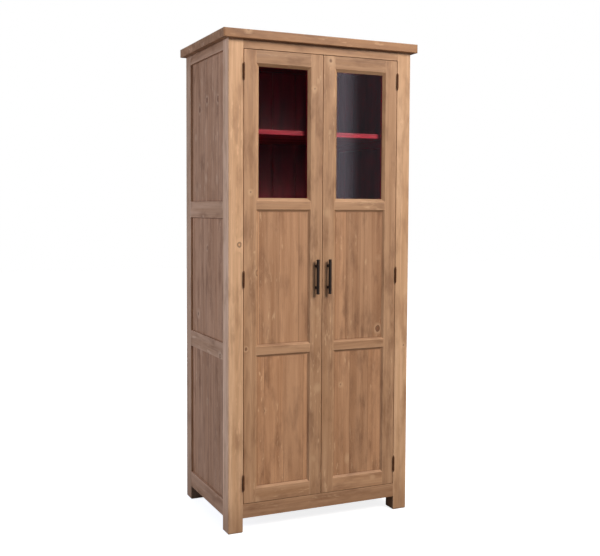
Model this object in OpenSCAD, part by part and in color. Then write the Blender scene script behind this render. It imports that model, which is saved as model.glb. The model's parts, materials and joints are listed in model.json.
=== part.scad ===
// Pantry cabinet: a tall free-standing pine larder. Four square corner posts run down
// to the floor as feet. Rails are tenoned into the posts, panels float in grooves, and
// two inset doors, glazed above and panelled below, hang on butt hinges.
// +X is to the right, -Y to the front and +Z up. The origin is at the bottom centre of
// the box around the closed cabinet. All sizes are in millimetres.

/* [Overall] */
// Width over the corner posts
carcass_w = 780; // [640:1:940]
// Depth over the corner posts
carcass_d = 520; // [430:1:630]
// Height from the floor to the upper face of the top board
total_h = 1900; // [1580:1:2300]

/* [Top board] */
// Thickness of the top board
top_t = 34; // [28:1:45]
// Overhang of the top board beyond the posts at each side
top_side_over = 25; // [0:1:60]
// Overhang of the top board in front of the posts
top_front_over = 18; // [0:1:60]

/* [Corner posts] */
// Side of each square corner post
post_s = 60; // [50:1:75]

/* [Carcass rails] */
// Thickness of the side, back and front bottom rails
rail_t = 26; // [22:1:32]
// Clear height under the lowest rails
floor_gap = 56; // [30:1:90]
// Height of the front top rail
front_top_rail_h = 34; // [28:1:60]
// How far the front top rail reaches behind the catches
front_top_rail_behind = 2.5; // [1:0.5:20]
// Height of the front bottom rail
front_bottom_rail_h = 54; // [45:1:80]
// Height of the top rails at the sides and back
side_top_rail_h = 36; // [30:1:60]
// Height of the two middle rails at each side
side_mid_rail_h = 65; // [50:1:90]
// Height of the bottom rails at the sides and back
side_bottom_rail_h = 64; // [50:1:90]
// Height of the upper side panel between its rails
side_top_panel_h = 565; // [400:1:620]
// Height of the lower side panel between its rails
side_bottom_panel_h = 540; // [400:1:620]
// How far the side rails sit back from the faces of the posts
side_rail_setback = 1; // [0:0.5:4]
// Thickness of the tenons on the carcass rails
tenon_t = 10; // [8:1:12]
// Length of the tenons on the carcass rails
tenon_l = 25; // [15:1:28]
// Shoulder above and below each carcass tenon
tenon_shoulder = 5; // [3:1:8]

/* [Side panels and back boards] */
// Thickness of the side panels
side_panel_t = 8; // [6:1:10]
// Depth of the side panels behind the faces of the side rails
side_panel_recess = 9; // [4:1:12]
// Depth of the grooves that hold the side panels
side_groove = 8; // [5:1:12]
// Thickness of the back boards
back_t = 10; // [8:1:14]
// Number of tongued back boards
back_count = 6; // [4:1:9]
// Length of the tongue on each back board
back_tongue_l = 5; // [3:1:7]
// Thickness of the tongue on each back board
back_tongue_t = 3; // [2:0.5:4]

/* [Doors] */
// Thickness of the doors
door_t = 26; // [24:1:31]
// Gap around and between the doors
door_gap = 2; // [2:0.1:4]
// Flat face width of the door stiles
stile_w = 50; // [42:1:65]
// Flat face height of the door top rails
door_top_rail_h = 48; // [40:1:70]
// Flat face height of the two middle rails of each door
door_mid_rail_h = 31; // [28:1:50]
// Flat face height of the door bottom rails
door_bottom_rail_h = 54; // [40:1:90]
// Height of the glazed opening between the flat faces of its rails
glazed_h = 516; // [380:1:560]
// Height of the lower panel opening between the flat faces of its rails
lower_panel_h = 515; // [380:1:560]
// Thickness of the tenons on the door rails
door_tenon_t = 8; // [6:1:9]
// Length of the tenons on the door rails
door_tenon_l = 30; // [20:1:34]
// Shoulder above and below each door tenon
door_tenon_shoulder = 4; // [3:1:6]

/* [Door panels and glass] */
// Width of the sloping moulding around each door panel
panel_mould = 8; // [6:1:14]
// Depth of the door panels behind the face of the door
panel_recess = 7; // [6:1:12]
// Thickness of the door panels
door_panel_t = 8; // [6:1:9]
// Depth of the grooves that hold the door panels
door_groove = 6; // [4:1:8]
// Width of the sloping moulding around each pane
glass_mould = 12; // [10:1:18]
// Depth of the pane behind the face of the door
glass_recess = 9; // [7:1:15]
// Thickness of the pane
glass_t = 4; // [3:1:6]
// Depth of the rebate that holds the pane
glass_rebate = 9; // [6:1:10]
// Width of the glazing beads behind the pane
bead_w = 9; // [8:1:16]

/* [Inside] */
// Thickness of the shelves and of the bottom board
shelf_t = 18; // [15:1:25]
// Height of the top compartment, from the top shelf to the door opening's top
top_space_h = 294; // [200:1:400]
// Gap between the backs of the doors and the shelves
shelf_gap = 5; // [4:1:60]
// How far the bottom board stands up behind the doors
bottom_stop = 8; // [4:1:12]
// Width of the shelf cleats
cleat_w = 18; // [15:1:25]
// Height of the shelf cleats
cleat_h = 30; // [24:1:40]
// Width of each magnetic catch
catch_w = 46; // [35:1:55]
// Depth of each magnetic catch
catch_d = 16; // [12:1:17]
// Height of each magnetic catch
catch_h = 14; // [10:1:16]
// Distance of each catch from the middle of the cabinet
catch_offset = 10; // [6:1:20]

/* [Hinges] */
// Height of the hinge leaves
hinge_h = 50; // [45:1:70]
// Distance from the end of the door to the middle of its nearest hinge
hinge_end = 82; // [70:1:130]
// Width of each hinge leaf into the gap
leaf_w = 22; // [19:1:24]
// Thickness of each hinge leaf
leaf_t = 1.5; // [1.2:0.1:2]
// Outer radius of the hinge knuckles
knuckle_r = 3.7; // [3.4:0.1:6]
// Radius of the hinge pins
pin_r = 1.8; // [1.5:0.1:2.5]
// Length of the pointed end beyond each hinge
finial_l = 9; // [4:0.5:12]

/* [Handles] */
// Length of the handle bars
handle_l = 136; // [115:1:180]
// Distance between the two posts of each handle
handle_pitch = 84; // [64:1:96]
// Distance from the door face to the axis of the bar
handle_reach = 17; // [15:1:40]
// Distance from the meeting edge of the door to the handle
handle_inset = 25; // [18:1:34]
// Radius of the handle bars
handle_r = 6.2; // [4:0.1:7]
// Radius of the thicker ends of the handle bars
handle_end_r = 6.6; // [4.5:0.1:8]
// Length of the thicker ends of the handle bars
handle_end_l = 5; // [3:0.5:10]
// Radius of each handle post at the door
handle_foot_r = 6; // [5:0.1:9]
// Radius of each handle post at the bar
handle_neck_r = 4.8; // [3.5:0.1:6]

/* [Fits] */
// Clearance around each tenon in its mortise
tenon_fit = 0.2; // [0.1:0.05:0.5]
// Play of each panel at the bottom of its groove
panel_play = 1; // [0.5:0.1:2]
// Clearance behind each panel in its groove
panel_fit = 0.2; // [0.1:0.05:0.5]
// Gap between back boards and between boards and their neighbours
board_fit = 0.5; // [0.3:0.1:1.5]
// Radial clearance of the pins in the knuckles
pin_fit = 0.05; // [0.02:0.01:0.1]
// Gap between the two leaves and between the knuckles of a hinge
hinge_fit = 0.2; // [0.1:0.05:0.4]
// Radial clearance of the screws in their holes
screw_fit = 0.05; // [0.02:0.01:0.2]
// Gap between each catch and its strike plate
catch_fit = 0.3; // [0.2:0.1:1]
// Gap between the knuckles and the faces of the posts and doors
barrel_fit = 0.3; // [0.2:0.1:1]
// Gap between the backs of the doors and the bottom board
sill_fit = 1; // [0.5:0.1:2]
// Gap between the ends of the cleats and the shelf's front or the rear rails
cleat_end_gap = 4; // [1:1:10]

/* [Hidden] */
$fn = 48;

PINE = "peru";
PINE_PANEL = "#c08a4e";
CRIMSON = "crimson";
IRON = "#2c2622";
BRONZE = "#4a3b2c";
STEEL = "silver";

// A little extra, so that a cut runs past the face that it opens
past = 1;
// How far the joined parts of a hinge leaf run into each other
weld = 0.01;
// Number of shelves, each a node of its own
shelf_count = 4;

// How far each kind of screw bites into the wood behind the piece that it holds
cleat_screw_bite = 20;
back_screw_bite = 16;
top_screw_bite = 20;
catch_screw_bite = 12;
// Screws: head radius, shank radius, head depth, length and length of the point
hinge_screw = [3.2, 1.6, 1.5, 16, 3];
cleat_screw = [4, 2, 2.5, cleat_w + cleat_screw_bite, 4];
back_screw = [3.2, 1.6, 2, back_t + back_screw_bite, 3];
catch_screw = [2.8, 1.5, 1.6, catch_h + catch_screw_bite, 3];
screw_tip_r = 0.3;
plate_screw = [2.4, 1.3, 1.2, 10, 2];
handle_screw_r = 2;
handle_screw_head = [4, 2.2];
handle_screw_bite = 12;
handle_hole_r = 2.25;
plate_t = 1.2;
plate_h = 16;
plate_drop = 1;
finial_collar_l = 1.2;
finial_tip_r = 0.8;
hinge_screw_pitch = 18;
hinge_screw_inset = 8;
cleat_screw_inset = 14;
top_screw_x = 220;
catch_screw_pitch = 30;

// The front faces of the posts and their back faces
handle_front = handle_reach + handle_end_r;
front_reach = max(handle_front, top_front_over);
face_y = (front_reach - carcass_d) / 2;
back_y = face_y + carcass_d;
half_w = carcass_w / 2;
inner_w = carcass_w - 2 * post_s;
// Front edges of the shelves, measured from the faces of the posts
shelf_y = door_t + shelf_gap;

// Heights
top_z = total_h - top_t;
side_rail_h = [side_bottom_rail_h, side_mid_rail_h, side_mid_rail_h, side_top_rail_h];
side_rail_z = [
    floor_gap,
    floor_gap + side_bottom_rail_h + side_bottom_panel_h,
    top_z - side_top_rail_h - side_top_panel_h - side_mid_rail_h,
    top_z - side_top_rail_h,
];
front_rail_z = top_z - front_top_rail_h;
front_top_rail_d = door_t + plate_t + catch_fit + catch_d + front_top_rail_behind;
sill_z = floor_gap + front_bottom_rail_h;
bottom_top_z = sill_z + bottom_stop;
top_shelf_z = front_rail_z - top_space_h;
shelf_pitch = (top_shelf_z - bottom_top_z) / shelf_count;

// The rear rails stand in front of the back boards
rear_rail_y = back_y - back_t - rail_t;

// Doors, in their own frame: x from the hinge edge, y from the face, z from the floor
door_w = (inner_w - 3 * door_gap) / 2;
door_z0 = sill_z + door_gap;
door_z1 = front_rail_z - door_gap;
lower_z0 = door_z0 + door_bottom_rail_h;
lower_z1 = lower_z0 + lower_panel_h;
glazed_z1 = door_z1 - door_top_rail_h;
glazed_z0 = glazed_z1 - glazed_h;
upper_z0 = lower_z1 + door_mid_rail_h;
upper_z1 = glazed_z0 - door_mid_rail_h;
opening_w = door_w - 2 * stile_w;
// Each opening: its foot, its head, the width of its moulding and its depth
LOWER = [lower_z0, lower_z1, panel_mould, panel_recess];
UPPER = [upper_z0, upper_z1, panel_mould, panel_recess];
GLAZED = [glazed_z0, glazed_z1, glass_mould, glass_recess];
// Each rail of a door: its foot and its head, from the bottom up
DOOR_RAILS = [[door_z0, lower_z0], [lower_z1, upper_z0], [upper_z1, glazed_z0],
              [glazed_z1, door_z1]];
handle_z = (upper_z0 + upper_z1) / 2;
hinge_z = [door_z0 + hinge_end, (door_z0 + door_z1) / 2, door_z1 - hinge_end];

// Hinge barrels stand just in front of the faces, on the middle of the gap
barrel_x = -door_gap / 2;
barrel_y = -knuckle_r - barrel_fit;
leaf_near = hinge_fit / 2;
housing = leaf_near + leaf_t - door_gap / 2;
knuckle_h = hinge_h / 3;

// ---------- helpers ----------

// A box between two corners
module block(low, high) {
    translate(low) cube(high - low);
}

// Carries a door's pieces to their place on the left
module left_door() {
    translate([-inner_w / 2 + door_gap, face_y, 0]) children();
}

// Carries a door's pieces to their place on the right
module right_door() {
    mirror([1, 0, 0]) left_door() children();
}

// A countersunk screw along +X from the top of its head, grown by a clearance
module screw(kind, grow = 0) {
    head_r = kind[0];
    shank_r = kind[1];
    head_h = kind[2];
    length = kind[3];
    point = kind[4];
    rotate([0, 90, 0]) {
        cylinder(h = head_h, r1 = head_r + grow, r2 = shank_r + grow);
        cylinder(h = length - point, r = shank_r + grow);
        translate([0, 0, length - point])
            cylinder(h = point + grow, r1 = shank_r + grow, r2 = screw_tip_r + grow);
    }
}

// ---------- carcass joinery ----------

// The two tenons of a cross rail, or the mortises that they go into
module cross_tenons(y, z, h, grow = 0) {
    block([-inner_w / 2 - tenon_l - grow, y - grow, z + tenon_shoulder - grow],
          [inner_w / 2 + tenon_l + grow, y + tenon_t + grow, z + h - tenon_shoulder + grow]);
}

front_tenon_y = face_y + (rail_t - tenon_t) / 2;
rear_tenon_y = rear_rail_y + (rail_t - tenon_t) / 2;
side_tenon_x = half_w - side_rail_setback - (rail_t + tenon_t) / 2;

module all_cross_tenons(grow) {
    cross_tenons(front_tenon_y, front_rail_z, front_top_rail_h, grow);
    cross_tenons(front_tenon_y, floor_gap, front_bottom_rail_h, grow);
    cross_tenons(rear_tenon_y, side_rail_z[3], side_top_rail_h, grow);
    cross_tenons(rear_tenon_y, side_rail_z[0], side_bottom_rail_h, grow);
}

// The two tenons of a left side rail, or their mortises
module side_tenons(i, grow = 0) {
    block([-side_tenon_x - tenon_t - grow, face_y + post_s - tenon_l - grow,
           side_rail_z[i] + tenon_shoulder - grow],
          [-side_tenon_x + grow, back_y - post_s + tenon_l + grow,
           side_rail_z[i] + side_rail_h[i] - tenon_shoulder + grow]);
}

// A left side panel between rail i and the one above it, or the groove that it fills
module side_panel(i, grow = 0) {
    depth = side_groove - panel_play + (grow > 0 ? panel_play : 0);
    outer_x = -half_w + side_rail_setback + side_panel_recess;
    block([outer_x, face_y + post_s - depth, side_rail_z[i] + side_rail_h[i] - depth],
          [outer_x + side_panel_t + grow, back_y - post_s + depth, side_rail_z[i + 1] + depth]);
}

module left_side_grooves() {
    for (i = [0:2]) side_panel(i, panel_fit);
}

// ---------- screws of the carcass ----------

// Screw places on the left half, each turned so that the screw runs along +X
module left_hinge_screws(grow = 0) {
    for (z = hinge_z, k = [-1:1])
        left_door() translate([barrel_x - leaf_near, hinge_screw_y, z + k * hinge_screw_pitch])
            mirror([1, 0, 0]) screw(hinge_screw, grow);
}

module left_cleat_screws(grow = 0) {
    for (i = [0:shelf_count], y = [face_y + post_s - cleat_screw_inset,
                                   back_y - post_s + cleat_screw_inset])
        translate([-inner_w / 2 + cleat_w, y, cleat_top(i) - cleat_h / 2])
            mirror([1, 0, 0]) screw(cleat_screw, grow);
}

module back_screws(grow = 0) {
    for (i = [0:back_count - 1], k = [0, 3])
        translate([board_x(i + 0.5), back_y, side_rail_z[k] + side_rail_h[k] / 2])
            rotate([0, 0, -90]) screw(back_screw, grow);
}

module top_screws(grow = 0) {
    for (s = [-1, 1]) {
        translate([s * top_screw_x, face_y + front_top_rail_d / 2, front_rail_z])
            rotate([0, -90, 0])
                screw(top_screw(front_top_rail_h), grow);
        translate([s * top_screw_x, rear_rail_y + rail_t / 2, side_rail_z[3]])
            rotate([0, -90, 0])
                screw(top_screw(side_top_rail_h), grow);
    }
}

module catch_screws(grow = 0) {
    for (s = [-1, 1], k = [-0.5, 0.5])
        translate([s * (catch_offset + catch_w / 2) + k * catch_screw_pitch,
                   catch_y + catch_d / 2, front_rail_z - catch_h])
            rotate([0, -90, 0]) screw(catch_screw, grow);
}

hinge_screw_y = leaf_w - hinge_screw_inset;
catch_y = face_y + door_t + plate_t + catch_fit;
// The screw that goes up through a rail of height h into the top board
function top_screw(h) = [4, 2, 2.5, h + top_screw_bite, 4];
// Top of the bottom board's cleats, then of each shelf's
function cleat_top(i) = bottom_top_z - shelf_t + i * shelf_pitch;
// Left edge of back board i
function board_x(i) = -inner_w / 2 + board_fit + i * (inner_w - 2 * board_fit) / back_count;

// ---------- hinges ----------

// One leaf with its knuckles: the plate is on the +X side of the barrel axis
module leaf(ranges) {
    difference() {
        union() {
            block([leaf_near, -barrel_y, -hinge_h / 2],
                  [leaf_near + leaf_t, leaf_w - barrel_y, hinge_h / 2]);
            for (r = ranges) {
                translate([0, 0, r[0]]) cylinder(h = r[1] - r[0], r = knuckle_r);
                block([leaf_near, 0, r[0]], [leaf_near + leaf_t, -barrel_y + weld, r[1]]);
            }
        }
        translate([0, 0, -hinge_h / 2 - past])
            cylinder(h = hinge_h + 2 * past, r = pin_r + pin_fit);
        for (k = [-1:1])
            translate([leaf_near, hinge_screw_y - barrel_y, k * hinge_screw_pitch])
                screw(hinge_screw, screw_fit);
    }
}

// The middle knuckle belongs to the door, the outer two to the post
module door_leaf() {
    leaf([[-knuckle_h / 2 + hinge_fit / 2, knuckle_h / 2 - hinge_fit / 2]]);
}

module frame_leaf() {
    mirror([1, 0, 0])
        leaf([[-hinge_h / 2, -knuckle_h / 2 - hinge_fit / 2],
              [knuckle_h / 2 + hinge_fit / 2, hinge_h / 2]]);
}

module at_hinges() {
    for (z = hinge_z) translate([barrel_x, barrel_y, z]) children();
}

// The shallow housing for both leaves, in the post's side and the door's edge
module hinge_housings() {
    for (z = hinge_z)
        block([-door_gap - housing - screw_fit, -past, z - hinge_h / 2 - screw_fit],
              [housing + screw_fit, leaf_w + screw_fit, z + hinge_h / 2 + screw_fit]);
}

module pin() {
    translate([0, 0, -hinge_h / 2]) cylinder(h = hinge_h, r = pin_r);
    for (s = [0, 1]) mirror([0, 0, s]) translate([0, 0, hinge_h / 2]) {
        cylinder(h = finial_collar_l, r = knuckle_r);
        translate([0, 0, finial_collar_l])
            cylinder(h = finial_l - finial_collar_l, r1 = knuckle_r, r2 = finial_tip_r);
    }
}

// ---------- posts, rails and panels of the carcass ----------

module left_post(y) {
    difference() {
        block([-half_w, y, 0], [-half_w + post_s, y + post_s, top_z]);
        all_cross_tenons(tenon_fit);
        for (i = [0:3]) side_tenons(i, tenon_fit);
        left_side_grooves();
        left_door() hinge_housings();
        left_hinge_screws(screw_fit);
        left_cleat_screws(screw_fit);
    }
}

module front_left_post() { color(PINE) left_post(face_y); }
module rear_left_post() { color(PINE) left_post(back_y - post_s); }
module front_right_post() { color(PINE) mirror([1, 0, 0]) left_post(face_y); }
module rear_right_post() { color(PINE) mirror([1, 0, 0]) left_post(back_y - post_s); }

module front_top_rail() {
    color(PINE) difference() {
        union() {
            block([-inner_w / 2, face_y, front_rail_z],
                  [inner_w / 2, face_y + front_top_rail_d, top_z]);
            cross_tenons(front_tenon_y, front_rail_z, front_top_rail_h);
        }
        top_screws(screw_fit);
        catch_screws(screw_fit);
    }
}

module front_bottom_rail() {
    color(PINE) {
        block([-inner_w / 2, face_y, floor_gap], [inner_w / 2, face_y + rail_t, sill_z]);
        cross_tenons(front_tenon_y, floor_gap, front_bottom_rail_h);
    }
}

module rear_rail(i) {
    color(PINE) difference() {
        union() {
            block([-inner_w / 2, rear_rail_y, side_rail_z[i]],
                  [inner_w / 2, rear_rail_y + rail_t, side_rail_z[i] + side_rail_h[i]]);
            cross_tenons(rear_tenon_y, side_rail_z[i], side_rail_h[i]);
        }
        back_screws(screw_fit);
        top_screws(screw_fit);
    }
}

module rear_top_rail() { rear_rail(3); }
module rear_bottom_rail() { rear_rail(0); }

module side_rail(i) {
    color(PINE) difference() {
        union() {
            block([-half_w + side_rail_setback, face_y + post_s, side_rail_z[i]],
                  [-half_w + side_rail_setback + rail_t, back_y - post_s,
                   side_rail_z[i] + side_rail_h[i]]);
            side_tenons(i);
        }
        left_side_grooves();
    }
}

module left_bottom_rail() { side_rail(0); }
module left_lower_rail() { side_rail(1); }
module left_upper_rail() { side_rail(2); }
module left_top_rail() { side_rail(3); }
module right_bottom_rail() { mirror([1, 0, 0]) side_rail(0); }
module right_lower_rail() { mirror([1, 0, 0]) side_rail(1); }
module right_upper_rail() { mirror([1, 0, 0]) side_rail(2); }
module right_top_rail() { mirror([1, 0, 0]) side_rail(3); }

module left_bottom_panel() { color(PINE_PANEL) side_panel(0); }
module left_middle_panel() { color(PINE_PANEL) side_panel(1); }
module left_top_panel() { color(PINE_PANEL) side_panel(2); }
module right_bottom_panel() { mirror([1, 0, 0]) left_bottom_panel(); }
module right_middle_panel() { mirror([1, 0, 0]) left_middle_panel(); }
module right_top_panel() { mirror([1, 0, 0]) left_top_panel(); }

module top_board() {
    color(PINE) difference() {
        block([-half_w - top_side_over, face_y - top_front_over, top_z],
              [half_w + top_side_over, back_y, total_h]);
        top_screws(screw_fit);
    }
}

// Tongued boards, each in the groove of the next
module back_boards() {
    tongue_y = (back_t - back_tongue_t) / 2;
    color(CRIMSON) difference() {
        for (i = [0:back_count - 1]) {
            x0 = board_x(i) + board_fit / 2;
            x1 = board_x(i + 1) - board_fit / 2;
            difference() {
                union() {
                    block([x0, back_y - back_t, floor_gap], [x1, back_y, top_z - board_fit]);
                    if (i < back_count - 1)
                        block([x1 - back_tongue_l, back_y - back_t + tongue_y, floor_gap],
                              [x1 + back_tongue_l, back_y - tongue_y, top_z - board_fit]);
                }
                if (i > 0)
                    block([x0 - past, back_y - back_t + tongue_y - board_fit / 2,
                           floor_gap - past],
                          [x0 + back_tongue_l, back_y - tongue_y + board_fit / 2, top_z]);
            }
        }
        back_screws(screw_fit);
    }
}

// ---------- inside ----------

// A board notched around the posts, from y0 to y1, with its top at z
module notched_board(y0, y1, z) {
    narrow = inner_w / 2 - board_fit;
    wide = half_w - side_rail_setback - rail_t - board_fit;
    front = face_y + post_s + board_fit;
    rear = back_y - post_s - board_fit;
    translate([0, 0, z - shelf_t]) linear_extrude(shelf_t)
        polygon([[-narrow, y0], [narrow, y0], [narrow, front], [wide, front], [wide, rear],
                 [narrow, rear], [narrow, y1], [-narrow, y1], [-narrow, rear],
                 [-wide, rear], [-wide, front], [-narrow, front]]);
}

module shelf(i) {
    color(CRIMSON) notched_board(face_y + shelf_y, back_y - back_t - board_fit,
                                 bottom_top_z + i * shelf_pitch);
}

module shelf_1() { shelf(1); }
module shelf_2() { shelf(2); }
module shelf_3() { shelf(3); }
module shelf_4() { shelf(4); }

module bottom_board() {
    color(CRIMSON)
        notched_board(face_y + door_t + sill_fit, rear_rail_y - board_fit, bottom_top_z);
}

module left_cleats() {
    difference() {
        for (i = [0:shelf_count])
            block([-inner_w / 2, face_y + shelf_y + cleat_end_gap, cleat_top(i) - cleat_h],
                  [-inner_w / 2 + cleat_w, rear_rail_y - cleat_end_gap, cleat_top(i)]);
        left_cleat_screws(screw_fit);
    }
}

module shelf_cleats() {
    color(CRIMSON) {
        left_cleats();
        mirror([1, 0, 0]) left_cleats();
    }
}

module catches() {
    color("ivory") difference() {
        for (s = [0, 1]) mirror([s, 0, 0])
            block([catch_offset, catch_y, front_rail_z - catch_h],
                  [catch_offset + catch_w, catch_y + catch_d, front_rail_z]);
        catch_screws(screw_fit);
    }
}

module frame_hinge_leaves() {
    color(BRONZE) {
        left_door() at_hinges() frame_leaf();
        right_door() at_hinges() frame_leaf();
    }
}

module hinge_pins() {
    color(BRONZE) {
        left_door() at_hinges() pin();
        right_door() at_hinges() pin();
    }
}

module carcass_screws() {
    color(STEEL) {
        for (s = [0, 1]) mirror([s, 0, 0]) {
            left_hinge_screws();
            left_cleat_screws();
        }
        back_screws();
        top_screws();
        catch_screws();
    }
}

// ---------- doors ----------

// A moulding along +X that slopes in towards an opening above it, mitred at both ends
module moulding(length, w, drop) {
    intersection() {
        rotate([90, 0, 90]) linear_extrude(length)
            polygon([[0, 0], [drop, w], [door_t, w], [door_t, 0]]);
        translate([0, door_t, 0]) rotate([90, 0, 0]) linear_extrude(door_t)
            polygon([[0, 0], [length, 0], [length - w, w], [w, w]]);
    }
}

module foot_moulding(o) {
    translate([stile_w, 0, o[0]]) moulding(opening_w, o[2], o[3]);
}

module head_moulding(o) {
    translate([stile_w, 0, o[1]]) mirror([0, 0, 1]) moulding(opening_w, o[2], o[3]);
}

module hinge_side_moulding(o) {
    translate([stile_w, 0, o[1]]) rotate([0, 90, 0]) moulding(o[1] - o[0], o[2], o[3]);
}

module meeting_side_moulding(o) {
    translate([door_w - stile_w, 0, o[0]])
        rotate([0, -90, 0]) moulding(o[1] - o[0], o[2], o[3]);
}

// A panel or pane in opening o, reaching past its moulding by a depth
module infill(o, reach, t) {
    inset = o[2] - reach;
    block([stile_w + inset, o[3], o[0] + inset],
          [door_w - stile_w - inset, o[3] + t, o[1] - inset]);
}

// Grooves for the panels and a rebate, open at the back, for the glass
module door_grooves() {
    infill(LOWER, door_groove, door_panel_t + panel_fit);
    infill(UPPER, door_groove, door_panel_t + panel_fit);
    infill(GLAZED, glass_rebate, door_t);
}

module door_tenon(i, grow = 0) {
    block([stile_w - door_tenon_l - grow, panel_recess - grow,
           DOOR_RAILS[i][0] + door_tenon_shoulder - grow],
          [door_w - stile_w + door_tenon_l + grow, panel_recess + door_tenon_t + grow,
           DOOR_RAILS[i][1] - door_tenon_shoulder + grow]);
}

module door_rail(i) {
    color(PINE) difference() {
        union() {
            block([stile_w, 0, DOOR_RAILS[i][0]], [door_w - stile_w, door_t, DOOR_RAILS[i][1]]);
            door_tenon(i);
            if (i == 0) foot_moulding(LOWER);
            if (i == 1) {
                head_moulding(LOWER);
                foot_moulding(UPPER);
            }
            if (i == 2) {
                head_moulding(UPPER);
                foot_moulding(GLAZED);
            }
            if (i == 3) head_moulding(GLAZED);
        }
        door_grooves();
        door_screw_holes();
    }
}

module hinge_stile() {
    color(PINE) difference() {
        union() {
            block([0, 0, door_z0], [stile_w, door_t, door_z1]);
            hinge_side_moulding(LOWER);
            hinge_side_moulding(UPPER);
            hinge_side_moulding(GLAZED);
        }
        door_grooves();
        for (i = [0:3]) door_tenon(i, tenon_fit);
        hinge_housings();
        door_screw_holes();
    }
}

module meeting_stile() {
    color(PINE) difference() {
        union() {
            block([door_w - stile_w, 0, door_z0], [door_w, door_t, door_z1]);
            meeting_side_moulding(LOWER);
            meeting_side_moulding(UPPER);
            meeting_side_moulding(GLAZED);
        }
        door_grooves();
        for (i = [0:3]) door_tenon(i, tenon_fit);
        door_screw_holes();
    }
}

// The strike plate faces the catch across the catch gap
plate_x0 = inner_w / 2 - door_gap - catch_offset - catch_w;
plate_x1 = plate_x0 + catch_w;

module door_hinge_screws(grow = 0) {
    for (z = hinge_z, k = [-1:1])
        translate([barrel_x + leaf_near, hinge_screw_y, z + k * hinge_screw_pitch])
            screw(hinge_screw, grow);
}

module plate_screws(grow = 0) {
    for (x = [plate_x0 + plate_h / 2, plate_x1 - plate_h / 2])
        translate([x, door_t + plate_t, door_z1 - plate_h / 2 - plate_drop])
            rotate([0, 0, -90]) screw(plate_screw, grow);
}

module handle_shanks(r, head = 0) {
    for (s = [-0.5, 0.5])
        translate([door_w - handle_inset, door_t, handle_z + s * handle_pitch])
            rotate([90, 0, 0]) {
                cylinder(h = door_t + handle_screw_bite, r = r);
                if (head > 0) mirror([0, 0, 1])
                    cylinder(h = handle_screw_head[1], r = head);
            }
}

// Every screw hole in the wood of a door
module door_screw_holes() {
    door_hinge_screws(screw_fit);
    plate_screws(screw_fit);
    handle_shanks(handle_hole_r);
}

module panel_in(o) {
    color(PINE_PANEL) infill(o, door_groove - panel_play, door_panel_t);
}

module glass() {
    color("lightblue", 0.4) infill(GLAZED, glass_rebate - panel_play, glass_t);
}

// Four strips behind the pane, butted at the corners
module glazing_beads() {
    inset = glass_mould - glass_rebate;
    y0 = glass_recess + glass_t;
    x0 = stile_w + inset;
    x1 = door_w - stile_w - inset;
    z0 = GLAZED[0] + inset;
    z1 = GLAZED[1] - inset;
    color(PINE) {
        block([x0, y0, z0], [x1, door_t, z0 + bead_w]);
        block([x0, y0, z1 - bead_w], [x1, door_t, z1]);
        block([x0, y0, z0 + bead_w + panel_fit], [x0 + bead_w, door_t, z1 - bead_w - panel_fit]);
        block([x1 - bead_w, y0, z0 + bead_w + panel_fit], [x1, door_t, z1 - bead_w - panel_fit]);
    }
}

// A bar on two tapered posts, bored from the back for its screws
module handle() {
    color(IRON) difference() {
        translate([door_w - handle_inset, -handle_reach, handle_z]) {
            translate([0, 0, -handle_l / 2]) cylinder(h = handle_l, r = handle_r);
            for (s = [0, 1]) mirror([0, 0, s])
                translate([0, 0, handle_l / 2 - handle_end_l])
                    cylinder(h = handle_end_l, r = handle_end_r);
            for (s = [-0.5, 0.5]) translate([0, handle_reach, s * handle_pitch])
                rotate([90, 0, 0])
                    cylinder(h = handle_reach, r1 = handle_foot_r, r2 = handle_neck_r);
        }
        handle_shanks(handle_screw_r + screw_fit);
    }
}

module hinge_leaves() {
    color(BRONZE) at_hinges() door_leaf();
}

// The screws of the hinges and the handle, and the strike plate with its own screws
module fixings() {
    color(STEEL) {
        door_hinge_screws();
        handle_shanks(handle_screw_r, handle_screw_head[0]);
        plate_screws();
        difference() {
            block([plate_x0, door_t, door_z1 - plate_h - plate_drop],
                  [plate_x1, door_t + plate_t, door_z1 - plate_drop]);
            plate_screws(screw_fit);
        }
    }
}

module left_door_hinge_stile() { left_door() hinge_stile(); }
module left_door_meeting_stile() { left_door() meeting_stile(); }
module left_door_top_rail() { left_door() door_rail(3); }
module left_door_glass_rail() { left_door() door_rail(2); }
module left_door_middle_rail() { left_door() door_rail(1); }
module left_door_bottom_rail() { left_door() door_rail(0); }
module left_door_glass() { left_door() glass(); }
module left_door_glazing_beads() { left_door() glazing_beads(); }
module left_door_upper_panel() { left_door() panel_in(UPPER); }
module left_door_lower_panel() { left_door() panel_in(LOWER); }
module left_door_handle() { left_door() handle(); }
module left_door_hinge_leaves() { left_door() hinge_leaves(); }
module left_door_fixings() { left_door() fixings(); }

module right_door_hinge_stile() { right_door() hinge_stile(); }
module right_door_meeting_stile() { right_door() meeting_stile(); }
module right_door_top_rail() { right_door() door_rail(3); }
module right_door_glass_rail() { right_door() door_rail(2); }
module right_door_middle_rail() { right_door() door_rail(1); }
module right_door_bottom_rail() { right_door() door_rail(0); }
module right_door_glass() { right_door() glass(); }
module right_door_glazing_beads() { right_door() glazing_beads(); }
module right_door_upper_panel() { right_door() panel_in(UPPER); }
module right_door_lower_panel() { right_door() panel_in(LOWER); }
module right_door_handle() { right_door() handle(); }
module right_door_hinge_leaves() { right_door() hinge_leaves(); }
module right_door_fixings() { right_door() fixings(); }

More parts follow.
